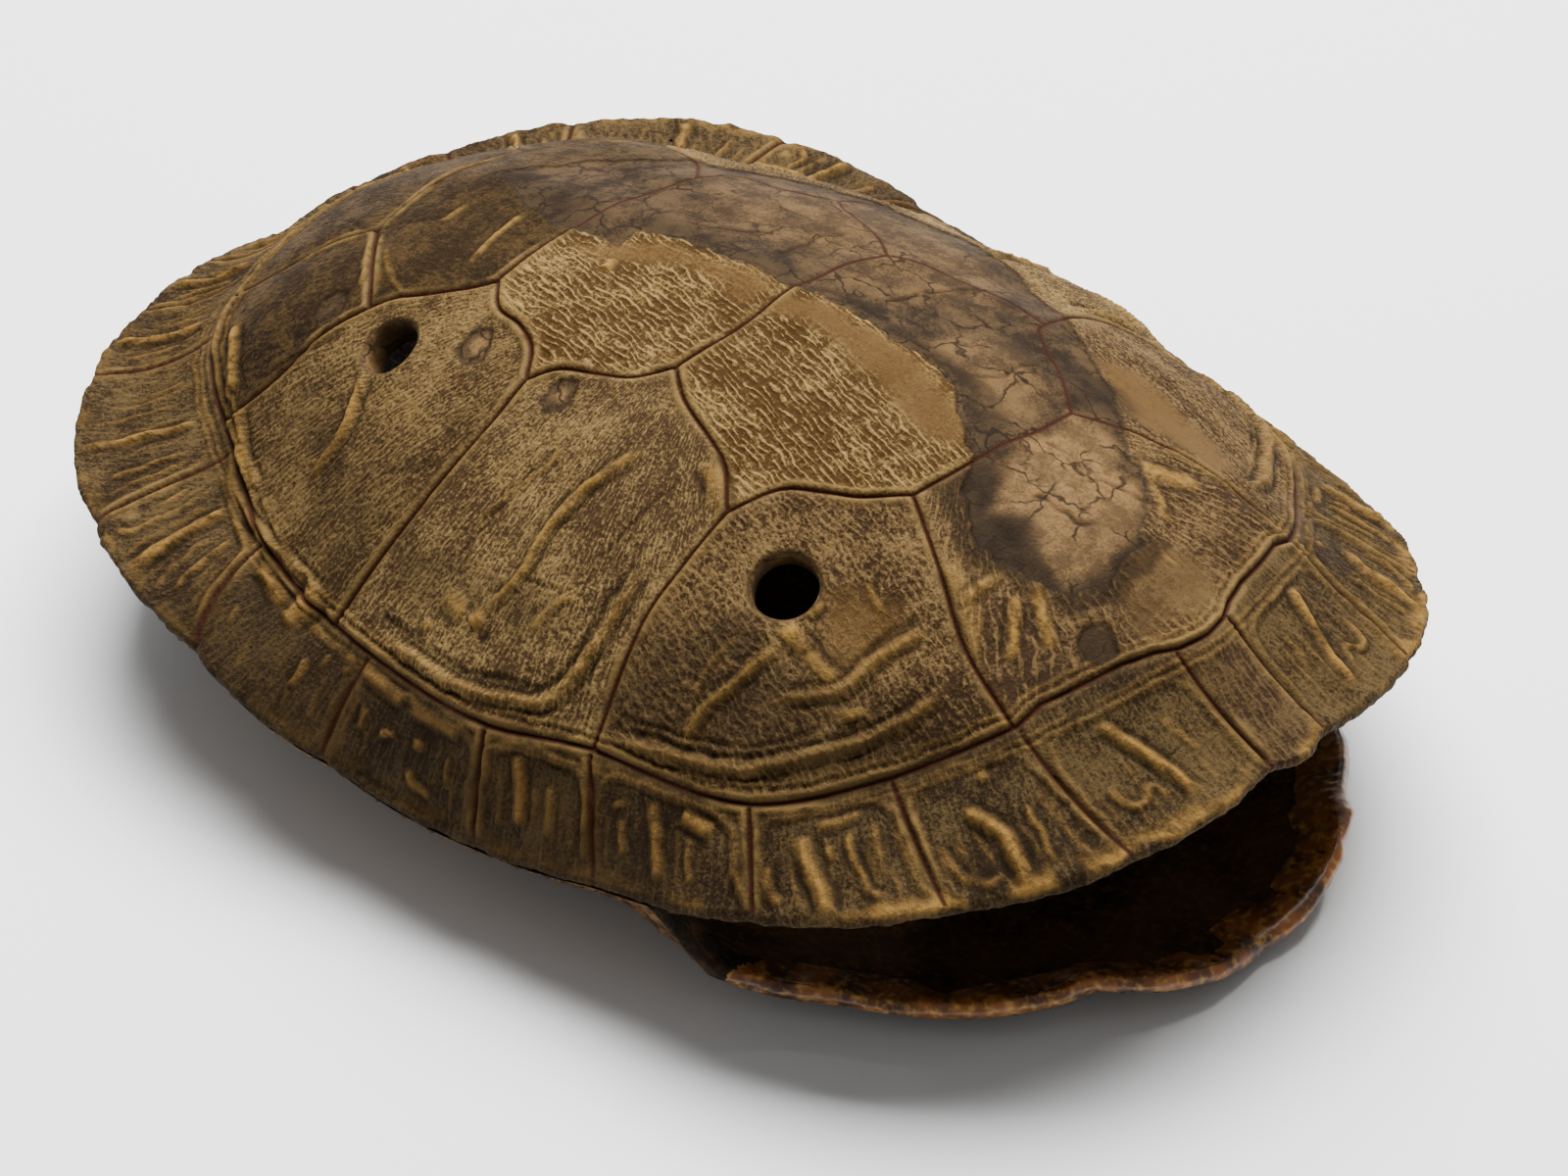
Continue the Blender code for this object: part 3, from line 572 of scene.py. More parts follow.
class ScuteMap:
    """Tells which scute a place belongs to, and how far it is from the nearest seam."""

    step = 0.15
    # more than the way round the rim, and down between two marginals
    round_mm = 600
    down_mm = 34

    def __init__(self, form: ShellForm, plan: SeamPlan) -> None:
        """Lay out every seam of a form."""
        self.form = form
        self.plan = plan
        self.kinds = [ScuteKind(Part.NUCHAL, None, 1)]
        self.kinds += [ScuteKind(Part.VERTEBRAL, None, i) for i in range(1, VERTEBRALS + 1)]
        for side in Side:
            self.kinds += [ScuteKind(Part.COSTAL, side, i) for i in range(1, COSTALS + 1)]
            self.kinds += [ScuteKind(Part.MARGINAL, side, i)
                           for i in range(1, MARGINALS + 1)]
        self.number = {kind: i for i, kind in enumerate(self.kinds)}
        self.lines = self._lines()
        self.tree = search_tree(np.vstack([form.outer(a, s) for a, s in self.lines]))

    def _lines(self) -> list:
        """Every seam as a line of angles and shares."""
        paths = [path for side in Side for path in self.plan.side_paths(side)]
        paths += [path for side in Side for path in self.plan.flank_paths(side)]
        paths += self.plan.cross_paths()
        lines = []
        for path in paths:
            angle, s = self.form.to_polar(smooth_path(path, self.step))
            edge = self.border(angle)
            if s[-1] > 0.9:
                keep = s < edge
                angle = np.append(angle[keep], angle[keep][-1])
                s = np.append(s[keep], edge[keep][-1])
            lines.append((angle, s))
        around = np.linspace(0, TURN, int(self.round_mm / self.step))
        lines.append((around, self.border(around)))
        for side, i in itertools.product(Side, range(MARGINALS + 1)):
            top = float(self.border(self.form.marginal_seam(i, 0.0)))
            s = np.linspace(top, 3, int(self.down_mm / self.step))
            angle = self.form.marginal_seam(i, np.clip(s - 1, 0, 1))
            lines.append((side.value * angle, s))
        return lines

    def border(self, angle: Array) -> Array:
        """The share s of the seam between the marginals and the scutes above them."""
        degrees, shares = np.array(self.plan.border).T
        return np.interp(self.form.fold(angle), np.radians(degrees), shares)

    def seam_distance(self, points: Array) -> Array:
        """Distance in mm from the nearest seam."""
        return np.array([self.tree.find(p)[2] for p in points.tolist()])

    def _edge(self, paths: list, column: int) -> tuple[Array, Array]:
        """A chain of seam paths as a table sorted by one coordinate."""
        chain = np.vstack([smooth_path(path, 0.5) for path in paths])
        order = np.argsort(chain[:, column], kind="stable")
        return chain[order, column], chain[order, 1 - column]

    def scute(self, angle: Array, s: Array, points: Array) -> Array:
        """Which scute each place belongs to, as an index into kinds.

        Args:
            angle: Polar angles.
            s: Shares.
            points: The same places in space.

        Returns:
            One index for each place.
        """
        x, y = points[:, 0], points[:, 1]
        found = np.zeros(len(s), int)
        folded = self.form.fold(angle)
        u = np.clip(s - 1, 0, 1)
        low = s > self.border(angle)
        ring = np.zeros(len(s), int)
        for i in range(MARGINALS + 1):
            ring += folded > self.form.marginal_seam(i, u)
        ring = np.clip(ring, 0, MARGINALS)
        vertebral = np.ones(len(s), int)
        for path in self.plan.cross_paths():
            vertebral += x < np.interp(y, *self._edge([path], 1))
        back = np.ones(len(s), bool)
        for side in Side:
            here = (y < 0) if side is Side.RIGHT else (y >= 0)
            first, *between, last = self.plan.flank_paths(side)
            chain = self.plan.side_paths(side) + [first, last]
            reach = np.abs(np.interp(x, *self._edge(chain, 0)))
            back &= ~here | (np.abs(y) < reach)
            costal = np.ones(len(s), int)
            for path in between:
                costal += x < np.interp(y, *self._edge([path], 1))
            for i in range(1, COSTALS + 1):
                found[here & (costal == i)] = self.number[ScuteKind(Part.COSTAL, side, i)]
            for i in range(1, MARGINALS + 1):
                chosen = here & low & (ring == i)
                found[chosen] = self.number[ScuteKind(Part.MARGINAL, side, i)]
        for i in range(1, VERTEBRALS + 1):
            chosen = back & ~low & (vertebral == i)
            found[chosen] = self.number[ScuteKind(Part.VERTEBRAL, None, i)]
        found[low & (ring == 0)] = 0
        return found


# ---- sheets of even triangles ----

class SnappedGrid:
    """Even triangles on the flat, pulled onto lines so that edges run along them."""

    def __init__(self, low: Array, high: Array, step: float, lines: list) -> None:
        """Cover a rectangle of the flat.

        Args:
            low: Lowest corner.
            high: Highest corner.
            step: Length of a triangle's side.
            lines: Arrays of closely spaced points that the grid is pulled onto.
        """
        row = step * math.sqrt(3) / 2
        columns = int((high[0] - low[0]) / step) + 2
        rows = int((high[1] - low[1]) / row) + 2
        i, j = np.meshgrid(np.arange(columns), np.arange(rows))
        x = low[0] + (i + 0.5 * (j % 2)) * step
        self.points = np.stack([x, low[1] + j * row], -1).reshape(-1, 2)
        self.faces = self._faces(columns, rows)
        self._snap(np.vstack(lines), step)

    @staticmethod
    def _faces(columns: int, rows: int) -> Array:
        """Triangles of the grid, all turned the same way."""
        i, j = np.meshgrid(np.arange(columns - 1), np.arange(rows - 1))
        i, j = i.ravel(), j.ravel()
        a = j * columns + i
        b, c, d = a + 1, a + columns, a + columns + 1
        even = (j % 2 == 0)[:, None]
        first = np.where(even, np.stack([a, b, c], -1), np.stack([a, b, d], -1))
        second = np.where(even, np.stack([b, d, c], -1), np.stack([a, d, c], -1))
        return np.vstack([first, second])

    def _snap(self, targets: Array, step: float) -> None:
        """Move each point that has a line within half a step onto it."""
        cells = {tuple(cell) for cell in np.floor(targets / step).astype(int).tolist()}
        grown = {(x + dx, y + dy) for x, y in cells for dx in (-1, 0, 1) for dy in (-1, 0, 1)}
        own = np.floor(self.points / step).astype(int).tolist()
        tree = search_tree(targets)
        for k, cell in enumerate(own):
            if tuple(cell) in grown:
                x, y = self.points[k]
                _, i, distance = tree.find((x, y, 0.0))
                if distance < step * 0.5:
                    self.points[k] = targets[i]

    def middles(self) -> Array:
        """The middle of every triangle."""
        return self.points[self.faces].mean(axis=1)

    def keep(self, chosen: Array) -> None:
        """Keep the chosen triangles that have an area, and only the points they use."""
        a, b, c = (self.points[self.faces[:, k]] for k in range(3))
        ab, ac = b - a, c - a
        area = ab[:, 0] * ac[:, 1] - ab[:, 1] * ac[:, 0]
        faces = self.faces[chosen & (area > 1e-4)]
        used, flat = np.unique(faces, return_inverse=True)
        self.points = self.points[used]
        self.faces = flat.reshape(-1, 3)


@dataclass
class Sheet:
    """Points, triangles and what is known at each point."""

    points: Array
    faces: Array
    marks: dict

    def part(self, chosen: Array) -> "Sheet":
        """The chosen triangles as a sheet of their own."""
        faces = self.faces[chosen]
        used, flat = np.unique(faces, return_inverse=True)
        marks = {name: values[used] for name, values in self.marks.items()}
        return Sheet(self.points[used], flat.reshape(-1, 3), marks)

    def border(self) -> Array:
        """Directed edges that only one triangle uses."""
        edges = np.vstack([self.faces[:, ends] for ends in ((0, 1), (1, 2), (2, 0))])
        keys = np.sort(edges, axis=1)
        code = keys[:, 0] * len(self.points) + keys[:, 1]
        _, first, count = np.unique(code, return_index=True, return_counts=True)
        return edges[first[count == 1]]

    def add_skirt(self, edges: Array, depth: float) -> None:
        """Turn part of the border down, so that the sheet ends in a wall marked dark as
        painted shade.

        Args:
            edges: The directed border edges to turn down.
            depth: How deep the wall goes, in mm.
        """
        used, flat = np.unique(edges, return_inverse=True)
        ends = flat.reshape(-1, 2) + len(self.points)
        below = self.points[used] - self.marks["lift"][used] * depth
        a, b = edges[:, 0], edges[:, 1]
        self.faces = np.vstack([self.faces, np.stack([b, a, ends[:, 0]], -1),
                                np.stack([b, ends[:, 0], ends[:, 1]], -1)])
        self.points = np.vstack([self.points, below])
        self.marks = {name: np.concatenate([values, values[used]])
                      for name, values in self.marks.items()}
        # the wall gets the full dark mark: painted shade inside the hole
        self.marks["dirt"][len(self.points) - len(used):] = 1.0


# ---- strokes and patches on the horn ----

@dataclass(frozen=True)
class Stroke:
    """A ridge or groove along a path, with the stain that goes with it.

    height is in mm and negative for a groove; half_width is in mm; stain runs from 0 to
    1 and is ochre on a ridge and dirt in a groove.
    """

    path: Array
    height: float
    half_width: float
    stain: float
    closed: bool = False


class Carving:
    """Adds strokes up on a set of points.

    A stroke is lost over the share fade of its length at both ends. A shallow groove
    with dirt in it runs at its foot.
    """

    fade = 0.15
    foot_depth = 0.35
    foot_dirt = 0.85

    def __init__(self, points: Array, wobble: float = 0.8) -> None:
        """Start with a smooth surface; wobble in mm makes every stroke uneven."""
        shift = [swing(points, wobble, 2.6, seed) for seed in (11, 12, 13)]
        self.points = points + np.stack(shift, -1)
        self.strength = 0.65 + 0.7 * noise(points, 3.5, 14)
        self.height = np.zeros(len(points))
        self.ochre = np.zeros(len(points))
        self.dirt = np.zeros(len(points))

    def add(self, stroke: Stroke) -> None:
        """Carve one stroke.

        Args:
            stroke: The ridge or groove to add.
        """
        reach = 3.2 * stroke.half_width
        low, high = stroke.path.min(0) - reach, stroke.path.max(0) + reach
        near = np.flatnonzero(np.all((self.points > low) & (self.points < high), axis=1))
        if not len(near):
            return
        distance, along = to_path(self.points[near], stroke.path)
        ends = 1.0
        if not stroke.closed:
            ends = ramp(along, 0, self.fade) * ramp(1 - along, 0, self.fade)
            ends = ends * self.strength[near]
        shape = bump(distance, stroke.half_width) * ends
        foot = bump(distance - 2 * stroke.half_width, 0.6 * stroke.half_width) * ends
        self.height[near] += stroke.height * (shape - self.foot_depth * foot)
        mark = self.ochre if stroke.height > 0 else self.dirt
        mark[near] = np.maximum(mark[near], stroke.stain * shape)
        if stroke.height > 0:
            dark = self.foot_dirt * min(1.0, stroke.height / 0.6) * foot
            self.dirt[near] = np.maximum(self.dirt[near], dark)


@dataclass(frozen=True)
class Patch:
    """A patch of the dome, seen from above, that raises a mark.

    strength runs from 0 to 1, and fade is the width in mm over which the edge is lost.
    """

    strength: float
    fade: float
    loop: tuple

    def share(self, points: Array, ragged: Array) -> Array:
        """How strongly the patch marks each point.

        Args:
            points: Places in mm.
            ragged: How far in mm the edge wanders at each point.

        Returns:
            A value from 0 to the strength.
        """
        value = np.zeros(len(points))
        loop = np.array(self.loop, float)
        plan = points[:, :2]
        reach = self.fade + 3
        near = np.flatnonzero(np.all((plan > loop.min(0) - reach)
                                     & (plan < loop.max(0) + reach), axis=1))
        if len(near):
            inside = ragged[near] - signed_distance(plan[near], loop)
            value[near] = self.strength * ramp(inside, -self.fade, self.fade)
        return value


# ---- nodes ----

def put(tree: NodeTree, kind: str, settings: dict | None = None,
        inputs: dict | tuple = (), output: int | str = 0) -> NodeSocket:
    """Add a node with its settings and links.

    Args:
        tree: The tree that gets the node.
        kind: The node's type name.
        settings: Properties to set on it.
        inputs: Values or output sockets, in order, or by input name or number.
        output: The output to hand back, by name or number.

    Returns:
        The chosen output socket of the new node.
    """
    made = tree.nodes.new(kind)
    for name, value in (settings or {}).items():
        setattr(made, name, value)
    for key, value in inputs.items() if isinstance(inputs, dict) else enumerate(inputs):
        if isinstance(value, NodeSocket):
            tree.links.new(value, made.inputs[key])
        else:
            made.inputs[key].default_value = value
    return made.outputs[output] if made.outputs else None


def linear(code: str) -> tuple:
    """Turn an sRGB hex colour into the linear colour that a shader takes."""
    parts = [int(code[i:i + 2], 16) / 255 for i in (1, 3, 5)]
    return tuple(c / 12.92 if c <= 0.04045 else ((c + 0.055) / 1.055) ** 2.4
                 for c in parts) + (1.0,)


# ---- the grain of the horn, grown by Geometry Nodes ----

MATH = "ShaderNodeMath"
VECTOR = "ShaderNodeVectorMath"
NOISE = "ShaderNodeTexNoise"
RANGE = "ShaderNodeMapRange"
MIX = "ShaderNodeMix"
PLUS, MINUS, TIMES, OVER, TIMES_PLUS, SCALE, SINE = (
    {"operation": name} for name in ("ADD", "SUBTRACT", "MULTIPLY", "DIVIDE", "MULTIPLY_ADD",
                                     "SCALE", "SINE"))
# a mix node has several sockets of each name, so they go by number: the factor, two
# numbers, two colours, and the mixed colour that comes out
FACTOR, LOW, HIGH, FROM, TO, MIXED = 0, 2, 3, 6, 7, 2
SMOOTH = {"interpolation_type": "SMOOTHSTEP"}
FOUR = {"noise_dimensions": "4D"}
COLOURS = {"data_type": "RGBA"}


def horn_pattern(tree: NodeTree, flow: NodeSocket, spacing: object,
                 length: object, size: object, seed: object) -> tuple:
    """The folds and the grit of old horn, the same in relief and in colour.

    Args:
        tree: A geometry or a shader tree.
        flow: Places in mm on the scute, x along the folds and y across them.
        spacing: Distance in mm between two folds.
        length: Length in mm of a fold.
        size: Width in mm of a lump of grit.
        seed: Picks the pattern.

    Returns:
        Two sockets that run from 0 to 1: the folds and the grit.
    """
    node = partial(put, tree)
    axes = node("ShaderNodeSeparateXYZ", None, (flow,)).node.outputs
    wide = node(MATH, TIMES, (spacing, 2.6))
    far = node("ShaderNodeCombineXYZ", None, (
        node(MATH, OVER, (axes[0], length)), node(MATH, OVER, (axes[1], wide))))
    sway = node(NOISE, FOUR, {"Vector": far, "W": seed, "Scale": 1.0, "Detail": 2.0})
    count = node(MATH, OVER, (axes[1], spacing))
    turns = node(MATH, TIMES_PLUS, (sway, 3.2, count))
    wave = node(MATH, SINE, (node(MATH, TIMES, (turns, TURN)),))
    crest = node(RANGE, SMOOTH, (wave, 0.05, 0.95))
    run = node(MATH, TIMES, (length, 0.4))
    close = node("ShaderNodeCombineXYZ", None, (
        node(MATH, OVER, (axes[0], run)), count, 3.0))
    broken = node(NOISE, FOUR, {"Vector": close, "W": seed, "Scale": 1.0, "Detail": 1.0})
    whole = node(RANGE, SMOOTH, (broken, 0.34, 0.54, 0.12))
    fold = node(MATH, TIMES, (crest, whole))
    scale = node(MATH, OVER, (1.0, size))
    drawn = node(VECTOR, TIMES, (flow, (0.75, 1.0, 1.0)))
    grit = node(NOISE, FOUR, {"Vector": drawn, "W": seed, "Scale": scale, "Detail": 4.0,
                              "Roughness": 0.68})
    return fold, node(RANGE, SMOOTH, (grit, 0.3, 0.7))


def grain_cover(tree: NodeTree, marks: dict) -> NodeSocket:
    """How much of the grain shows: less in seams, on smooth horn and on bare bone."""
    node = partial(put, tree)
    clear = node(RANGE, SMOOTH, (marks["seam"], 0.3, 2.0))
    horn = node(RANGE, SMOOTH, (marks["worn"], -0.8, 0.3, 1.0, 0.06))
    rough = node(RANGE, None, (marks["smooth"], 0.0, 1.0, 1.0, 0.12))
    return node(MATH, TIMES, (node(MATH, TIMES, (clear, horn)), rough))


# the inputs of the grain's tree, in the order of HornGrain's fields
GRAIN_INPUTS = ("Wrinkle Height", "Wrinkle Spacing", "Wrinkle Length", "Grain Height",
                "Grain Size", "Seed")


@dataclass(frozen=True)
class HornGrain:
    """How rough a scute is; sizes in mm."""

    wrinkle_height: float
    wrinkle_spacing: float
    wrinkle_length: float
    grain_height: float
    grain_size: float
    seed: float

    def apply(self, piece: Object, material: Material) -> Object:
        """Grow the grain on a piece and bake it.

        Args:
            piece: A mesh with the marks lift, flow, carve, seam, smooth and worn.
            material: What the piece is made of.

        Returns:
            The piece with its finished mesh.
        """
        tree = grain_tree()
        modifier = piece.modifiers.new("grain", "NODES")
        modifier.node_group = tree
        values = dict(zip(GRAIN_INPUTS, astuple(self)), Material=material)
        for item in tree.interface.items_tree:
            if item.item_type == "SOCKET" and item.in_out == "INPUT" and item.name in values:
                modifier[item.identifier] = values[item.name]
        graph = bpy.context.evaluated_depsgraph_get()
        baked = bpy.data.meshes.new_from_object(piece.evaluated_get(graph))
        piece.modifiers.remove(modifier)
        old = piece.data
        baked.name = old.name
        piece.data = baked
        bpy.data.meshes.remove(old)
        return piece


def grain_tree() -> NodeTree:
    """The tree that lifts a scute's points into wrinkles and grain.

    Returns:
        The tree, made on the first call and shared after that.
    """
    if "horn grain" in bpy.data.node_groups:
        return bpy.data.node_groups["horn grain"]
    tree = bpy.data.node_groups.new("horn grain", "GeometryNodeTree")
    face = tree.interface
    face.new_socket("Geometry", in_out="INPUT", socket_type="NodeSocketGeometry")
    for name in GRAIN_INPUTS:
        face.new_socket(name, in_out="INPUT", socket_type="NodeSocketFloat")
    face.new_socket("Material", in_out="INPUT", socket_type="NodeSocketMaterial")
    face.new_socket("Geometry", in_out="OUTPUT", socket_type="NodeSocketGeometry")
    node = partial(put, tree)
    given = node("NodeGroupInput").node.outputs
    marks = {name: node("GeometryNodeInputNamedAttribute", {"data_type": kind},
                        {"Name": name}, "Attribute")
             for kind, names in (("FLOAT", ("seam", "worn", "smooth", "carve")),
                                 ("FLOAT_VECTOR", ("flow", "lift"))) for name in names}
    fold, grit = horn_pattern(tree, marks["flow"], given["Wrinkle Spacing"],
                              given["Wrinkle Length"], given["Grain Size"], given["Seed"])
    folds = node(MATH, MINUS, (fold, 0.4))
    folds = node(MATH, TIMES, (folds, given["Wrinkle Height"]))
    fine = node(MATH, MINUS, (grit, 0.5))
    fine = node(MATH, TIMES_PLUS, (fine, given["Grain Height"], folds))
    height = node(MATH, TIMES_PLUS, (fine, grain_cover(tree, marks), marks["carve"]))
    metres = node(MATH, TIMES, (height, MM))
    offset = node(VECTOR, SCALE, {"Vector": marks["lift"], "Scale": metres})
    moved = node("GeometryNodeSetPosition", None,
                 {"Geometry": given["Geometry"], "Offset": offset})
    real = node("GeometryNodeRealizeInstances", None, {"Geometry": moved})
    dressed = node("GeometryNodeSetMaterial", None,
                   {"Geometry": real, "Material": given["Material"]})
    node("NodeGroupOutput", None, {"Geometry": dressed})
    return tree


# ---- finishes ----

def begin(name: str, values: dict) -> tuple[Material, Node]:
    """Start a material.

    Args:
        name: What it is made of.
        values: What the shader's sockets are set to, by name.

    Returns:
        The material and its shader.
    """
    material = bpy.data.materials.new(name)
    material.use_nodes = True
    shader = material.node_tree.nodes["Principled BSDF"]
    for socket, value in values.items():
        shader.inputs[socket].default_value = value
    return material, shader


@dataclass(frozen=True)
class Keratin:
    """Weathered scute keratin: thin horn plates, dull, darker in the hollows.

    Ridges are paler and hollows darker, the dark mark is dirt and painted shade, and
    where the horn has flaked off the dry bone below shows grey and tan. The marks on the mesh
    say where.
    """

    name: str
    grain: HornGrain
    hollow: str
    ridge: str
    smooth: str
    ochre: str = "#7E602E"
    lip: str = "#644F2C"
    seam: str = "#2B1308"
    dirt: str = "#150D05"
    bone_dark: str = "#20170E"
    bone: str = "#42321E"
    bone_pale: str = "#6E5433"
    crackle_mm: float = 9.0
    sway_mm: float = 4.0
    relief_mm: float = 0.22
    roughness: float = 0.72
    gloss: float = 0.05
    vivid: float = 0.65
    blotch: float = 1.0
    contrast: tuple = (0.15, 0.85)

    def make(self) -> Material:
        """Build the material."""
        material, shader = begin(self.name, {"IOR": KERATIN_IOR,
                                             "Specular IOR Level": self.gloss})
        tree = material.node_tree
        node = partial(put, tree)
        place = node("ShaderNodeTexCoord", output="Object")
        marks = {name: node("ShaderNodeAttribute", {"attribute_name": name}, output="Fac")
                 for name in ("seam", "lip", "worn", "smooth", "pale", "ochre", "dirt")}
        flow = node("ShaderNodeAttribute", {"attribute_name": "flow"}, output="Vector")
        # four noises, by the width of a lump in mm
        speck, mottle, stain, cloud = [
            node(NOISE, None, {"Vector": place, "Scale": 1 / (size * MM), "Detail": detail,
                               "Roughness": 0.6})
            for size, detail in ((0.55, 2.0), (2.4, 3.0), (8.0, 4.0), (21.0, 3.0))]
        grain = self.grain
        fold, grit = horn_pattern(tree, flow, grain.wrinkle_spacing, grain.wrinkle_length,
                                  grain.grain_size, grain.seed)
        share = grain.wrinkle_height / (grain.wrinkle_height + grain.grain_height)
        relief = node(MIX, None, {FACTOR: share, LOW: grit, HIGH: fold})
        cover = grain_cover(tree, marks)
        vivid = node(MATH, TIMES, (cover, self.vivid))
        shown = node(MIX, None, {FACTOR: vivid, LOW: 0.45, HIGH: relief})
        # dark hollows and pale ridges
        level = node(MATH, TIMES_PLUS, (speck, 1.2, -0.6))
        level = node(MATH, PLUS, (level, shown))
        level = node(MATH, TIMES_PLUS, (marks["pale"], 0.35, level))
        for lump, weight in ((cloud, 0.9), (stain, 1.3 * self.blotch),
                             (mottle, 0.9 * self.blotch)):
            drift = node(MATH, TIMES_PLUS, (lump, weight, -0.5 * weight))
            level = node(MATH, PLUS, (level, drift))
        light = node(RANGE, SMOOTH, (level, *self.contrast))
        colour = node(MIX, COLOURS, {FACTOR: light, FROM: linear(self.hollow),
                                     TO: linear(self.ridge)}, MIXED)
        # what each mark adds, broken up by the mottle
        for name, *span, tint in (("smooth", 0.2, 0.6, 0.5, 0.95, self.smooth),
                                  ("lip", 0.3, 0.6, 0.35, 1.0, self.lip),
                                  ("ochre", 0.3, 0.6, 0.25, 1.0, self.ochre)):
            shown = node(MATH, TIMES, (node(RANGE, SMOOTH, (mottle, *span)), marks[name]))
            colour = node(MIX, COLOURS, {FACTOR: shown, FROM: colour, TO: linear(tint)},
                          MIXED)
        # dry bone under the horn, crackled and paler where it is rubbed
        tone = node(MATH, TIMES_PLUS, (speck, 0.5, stain))
        tone = node(MATH, TIMES_PLUS, (mottle, 0.5, tone))
        tone = node(RANGE, SMOOTH, (tone, 0.82, 1.2))
        bone = node(MIX, COLOURS, {FACTOR: tone, FROM: linear(self.bone_dark),
                                   TO: linear(self.bone)}, MIXED)
        lit = node(MATH, TIMES_PLUS, (tone, 0.9, 0.1))
        lit = node(MIX, COLOURS, {FACTOR: lit, FROM: linear(self.bone),
                                  TO: linear(self.bone_pale)}, MIXED)
        bone = node(MIX, COLOURS, {FACTOR: marks["pale"], FROM: bone, TO: lit}, MIXED)
        sway = node(NOISE, None, {"Vector": place, "Scale": 1 / (self.sway_mm * MM)}, "Color")
        sway = node(VECTOR, SCALE, {"Vector": sway, "Scale": 5.0 * MM})
        split = node("ShaderNodeTexVoronoi", {"feature": "DISTANCE_TO_EDGE"}, {
            "Vector": node(VECTOR, PLUS, (place, sway)), "Scale": 1 / (self.crackle_mm * MM)})
        split = node(RANGE, SMOOTH, (split, 0.005, 0.045, 0.85, 0.0))
        split = node(MATH, TIMES, (split, node(RANGE, SMOOTH, (stain, 0.42, 0.56))))
        # the ragged edge of the horn, with a dark line along it, then dirt and painted shade,
        # and seams
        edge = node(MATH, TIMES_PLUS, (mottle, 1.6, -0.8))
        edge = node(MATH, PLUS, (edge, marks["worn"]))
        line = node(MATH, TIMES, (node(RANGE, SMOOTH, (edge, -0.7, 0.0)),
                                  node(RANGE, SMOOTH, (edge, 0.0, 0.8, 0.6, 0.0))))
        # the dark mark is dirt in most places and painted shade inside the holes, over the
        # bridges and on the lower right flank, broken up by the noise
        darkening = node(RANGE, SMOOTH, (node(MATH, PLUS, (speck, mottle)), 0.75, 1.15, 0.4, 1.0))
        for shown, tint in (
                (node(RANGE, SMOOTH, (edge, -0.2, 0.3)),
                 node(MIX, COLOURS, {FACTOR: split, FROM: bone, TO: linear(self.dirt)},
                      MIXED)),
                (line, linear(self.dirt)),
                (node(MATH, TIMES, (darkening, marks["dirt"])), linear(self.dirt)),
                (node(RANGE, SMOOTH, (marks["seam"], 0.15, 0.65, 0.95, 0.0)),
                 linear(self.seam))):
            colour = node(MIX, COLOURS, {FACTOR: shown, FROM: colour, TO: tint}, MIXED)
        tree.links.new(colour, shader.inputs["Base Color"])
        dull = node(RANGE, None, (level, 0.0, 1.0, self.roughness + 0.12,
                                  self.roughness - 0.1))
        tree.links.new(dull, shader.inputs["Roughness"])
        height = node(MATH, TIMES_PLUS, (relief, cover, speck))
        bumps = node("ShaderNodeBump", None, {
            "Height": height, "Distance": self.relief_mm * MM, "Strength": 0.9})
        tree.links.new(bumps, shader.inputs["Normal"])
        return material


@dataclass(frozen=True)
class Stained:
    """Dry bone or horn with broad stains, for what needs no marks from the mesh."""

    name: str
    dark: str
    mid: str
    pale: str
    patch_mm: float
    grit_mm: float
    roughness: float
    relief_mm: float = 0.2
    gloss: float = 0.15

    def make(self) -> Material:
        """Build the material."""
        material, shader = begin(self.name, {
            "Roughness": self.roughness, "IOR": KERATIN_IOR,
            "Specular IOR Level": self.gloss})
        tree = material.node_tree
        node = partial(put, tree)
        place = node("ShaderNodeTexCoord", output="Object")
        patch, grit = [node(NOISE, None, {"Vector": place, "Scale": 1 / (size * MM),
                                          "Detail": 4.0})
                       for size in (self.patch_mm, self.grit_mm)]
        colour = linear(self.dark)
        for shown, tint in ((node(RANGE, SMOOTH, (patch, 0.36, 0.64)), self.mid),
                            (node(RANGE, SMOOTH, (grit, 0.45, 0.75, 0.0, 0.7)), self.pale)):
            colour = node(MIX, COLOURS, {FACTOR: shown, FROM: colour, TO: linear(tint)},
                          MIXED)
        tree.links.new(colour, shader.inputs["Base Color"])
        relief = node("ShaderNodeBump", None, {
            "Height": grit, "Distance": self.relief_mm * MM, "Strength": 0.8})
        tree.links.new(relief, shader.inputs["Normal"])
        return material


def add_object(name: str, data: ID) -> Object:
    """Put a mesh, a lamp or a camera into the scene."""
    made = bpy.data.objects.new(name, data)
    bpy.context.scene.collection.objects.link(made)
    return made


def make_object(name: str, sheet: Sheet, material: Material) -> Object:
    """Make a mesh object from a sheet in mm.

    Args:
        name: The piece's name.
        sheet: Its points, triangles and marks.
        material: What it is made of.

    Returns:
        The object, at the origin with its place in its mesh.
    """
    mesh = bpy.data.meshes.new(name)
    placed = ((sheet.points + np.array([SHIFT_X, 0.0, 0.0])) * MM).astype(np.float32)
    faces = sheet.faces.astype(np.int32)
    mesh.vertices.add(len(placed))
    mesh.vertices.foreach_set("co", placed.ravel())
    mesh.loops.add(faces.size)
    mesh.loops.foreach_set("vertex_index", faces.ravel())
    mesh.polygons.add(len(faces))
    mesh.polygons.foreach_set("loop_start", np.arange(0, faces.size, 3, dtype=np.int32))
    mesh.update(calc_edges=True)
    mesh.validate()
    for mark, values in sheet.marks.items():
        vector = values.ndim == 2
        layer = mesh.attributes.new(mark, "FLOAT_VECTOR" if vector else "FLOAT", "POINT")
        layer.data.foreach_set("vector" if vector else "value",
                               values.astype(np.float32).ravel())
    mesh.materials.append(material)
    mesh.shade_smooth()
    return add_object(name, mesh)


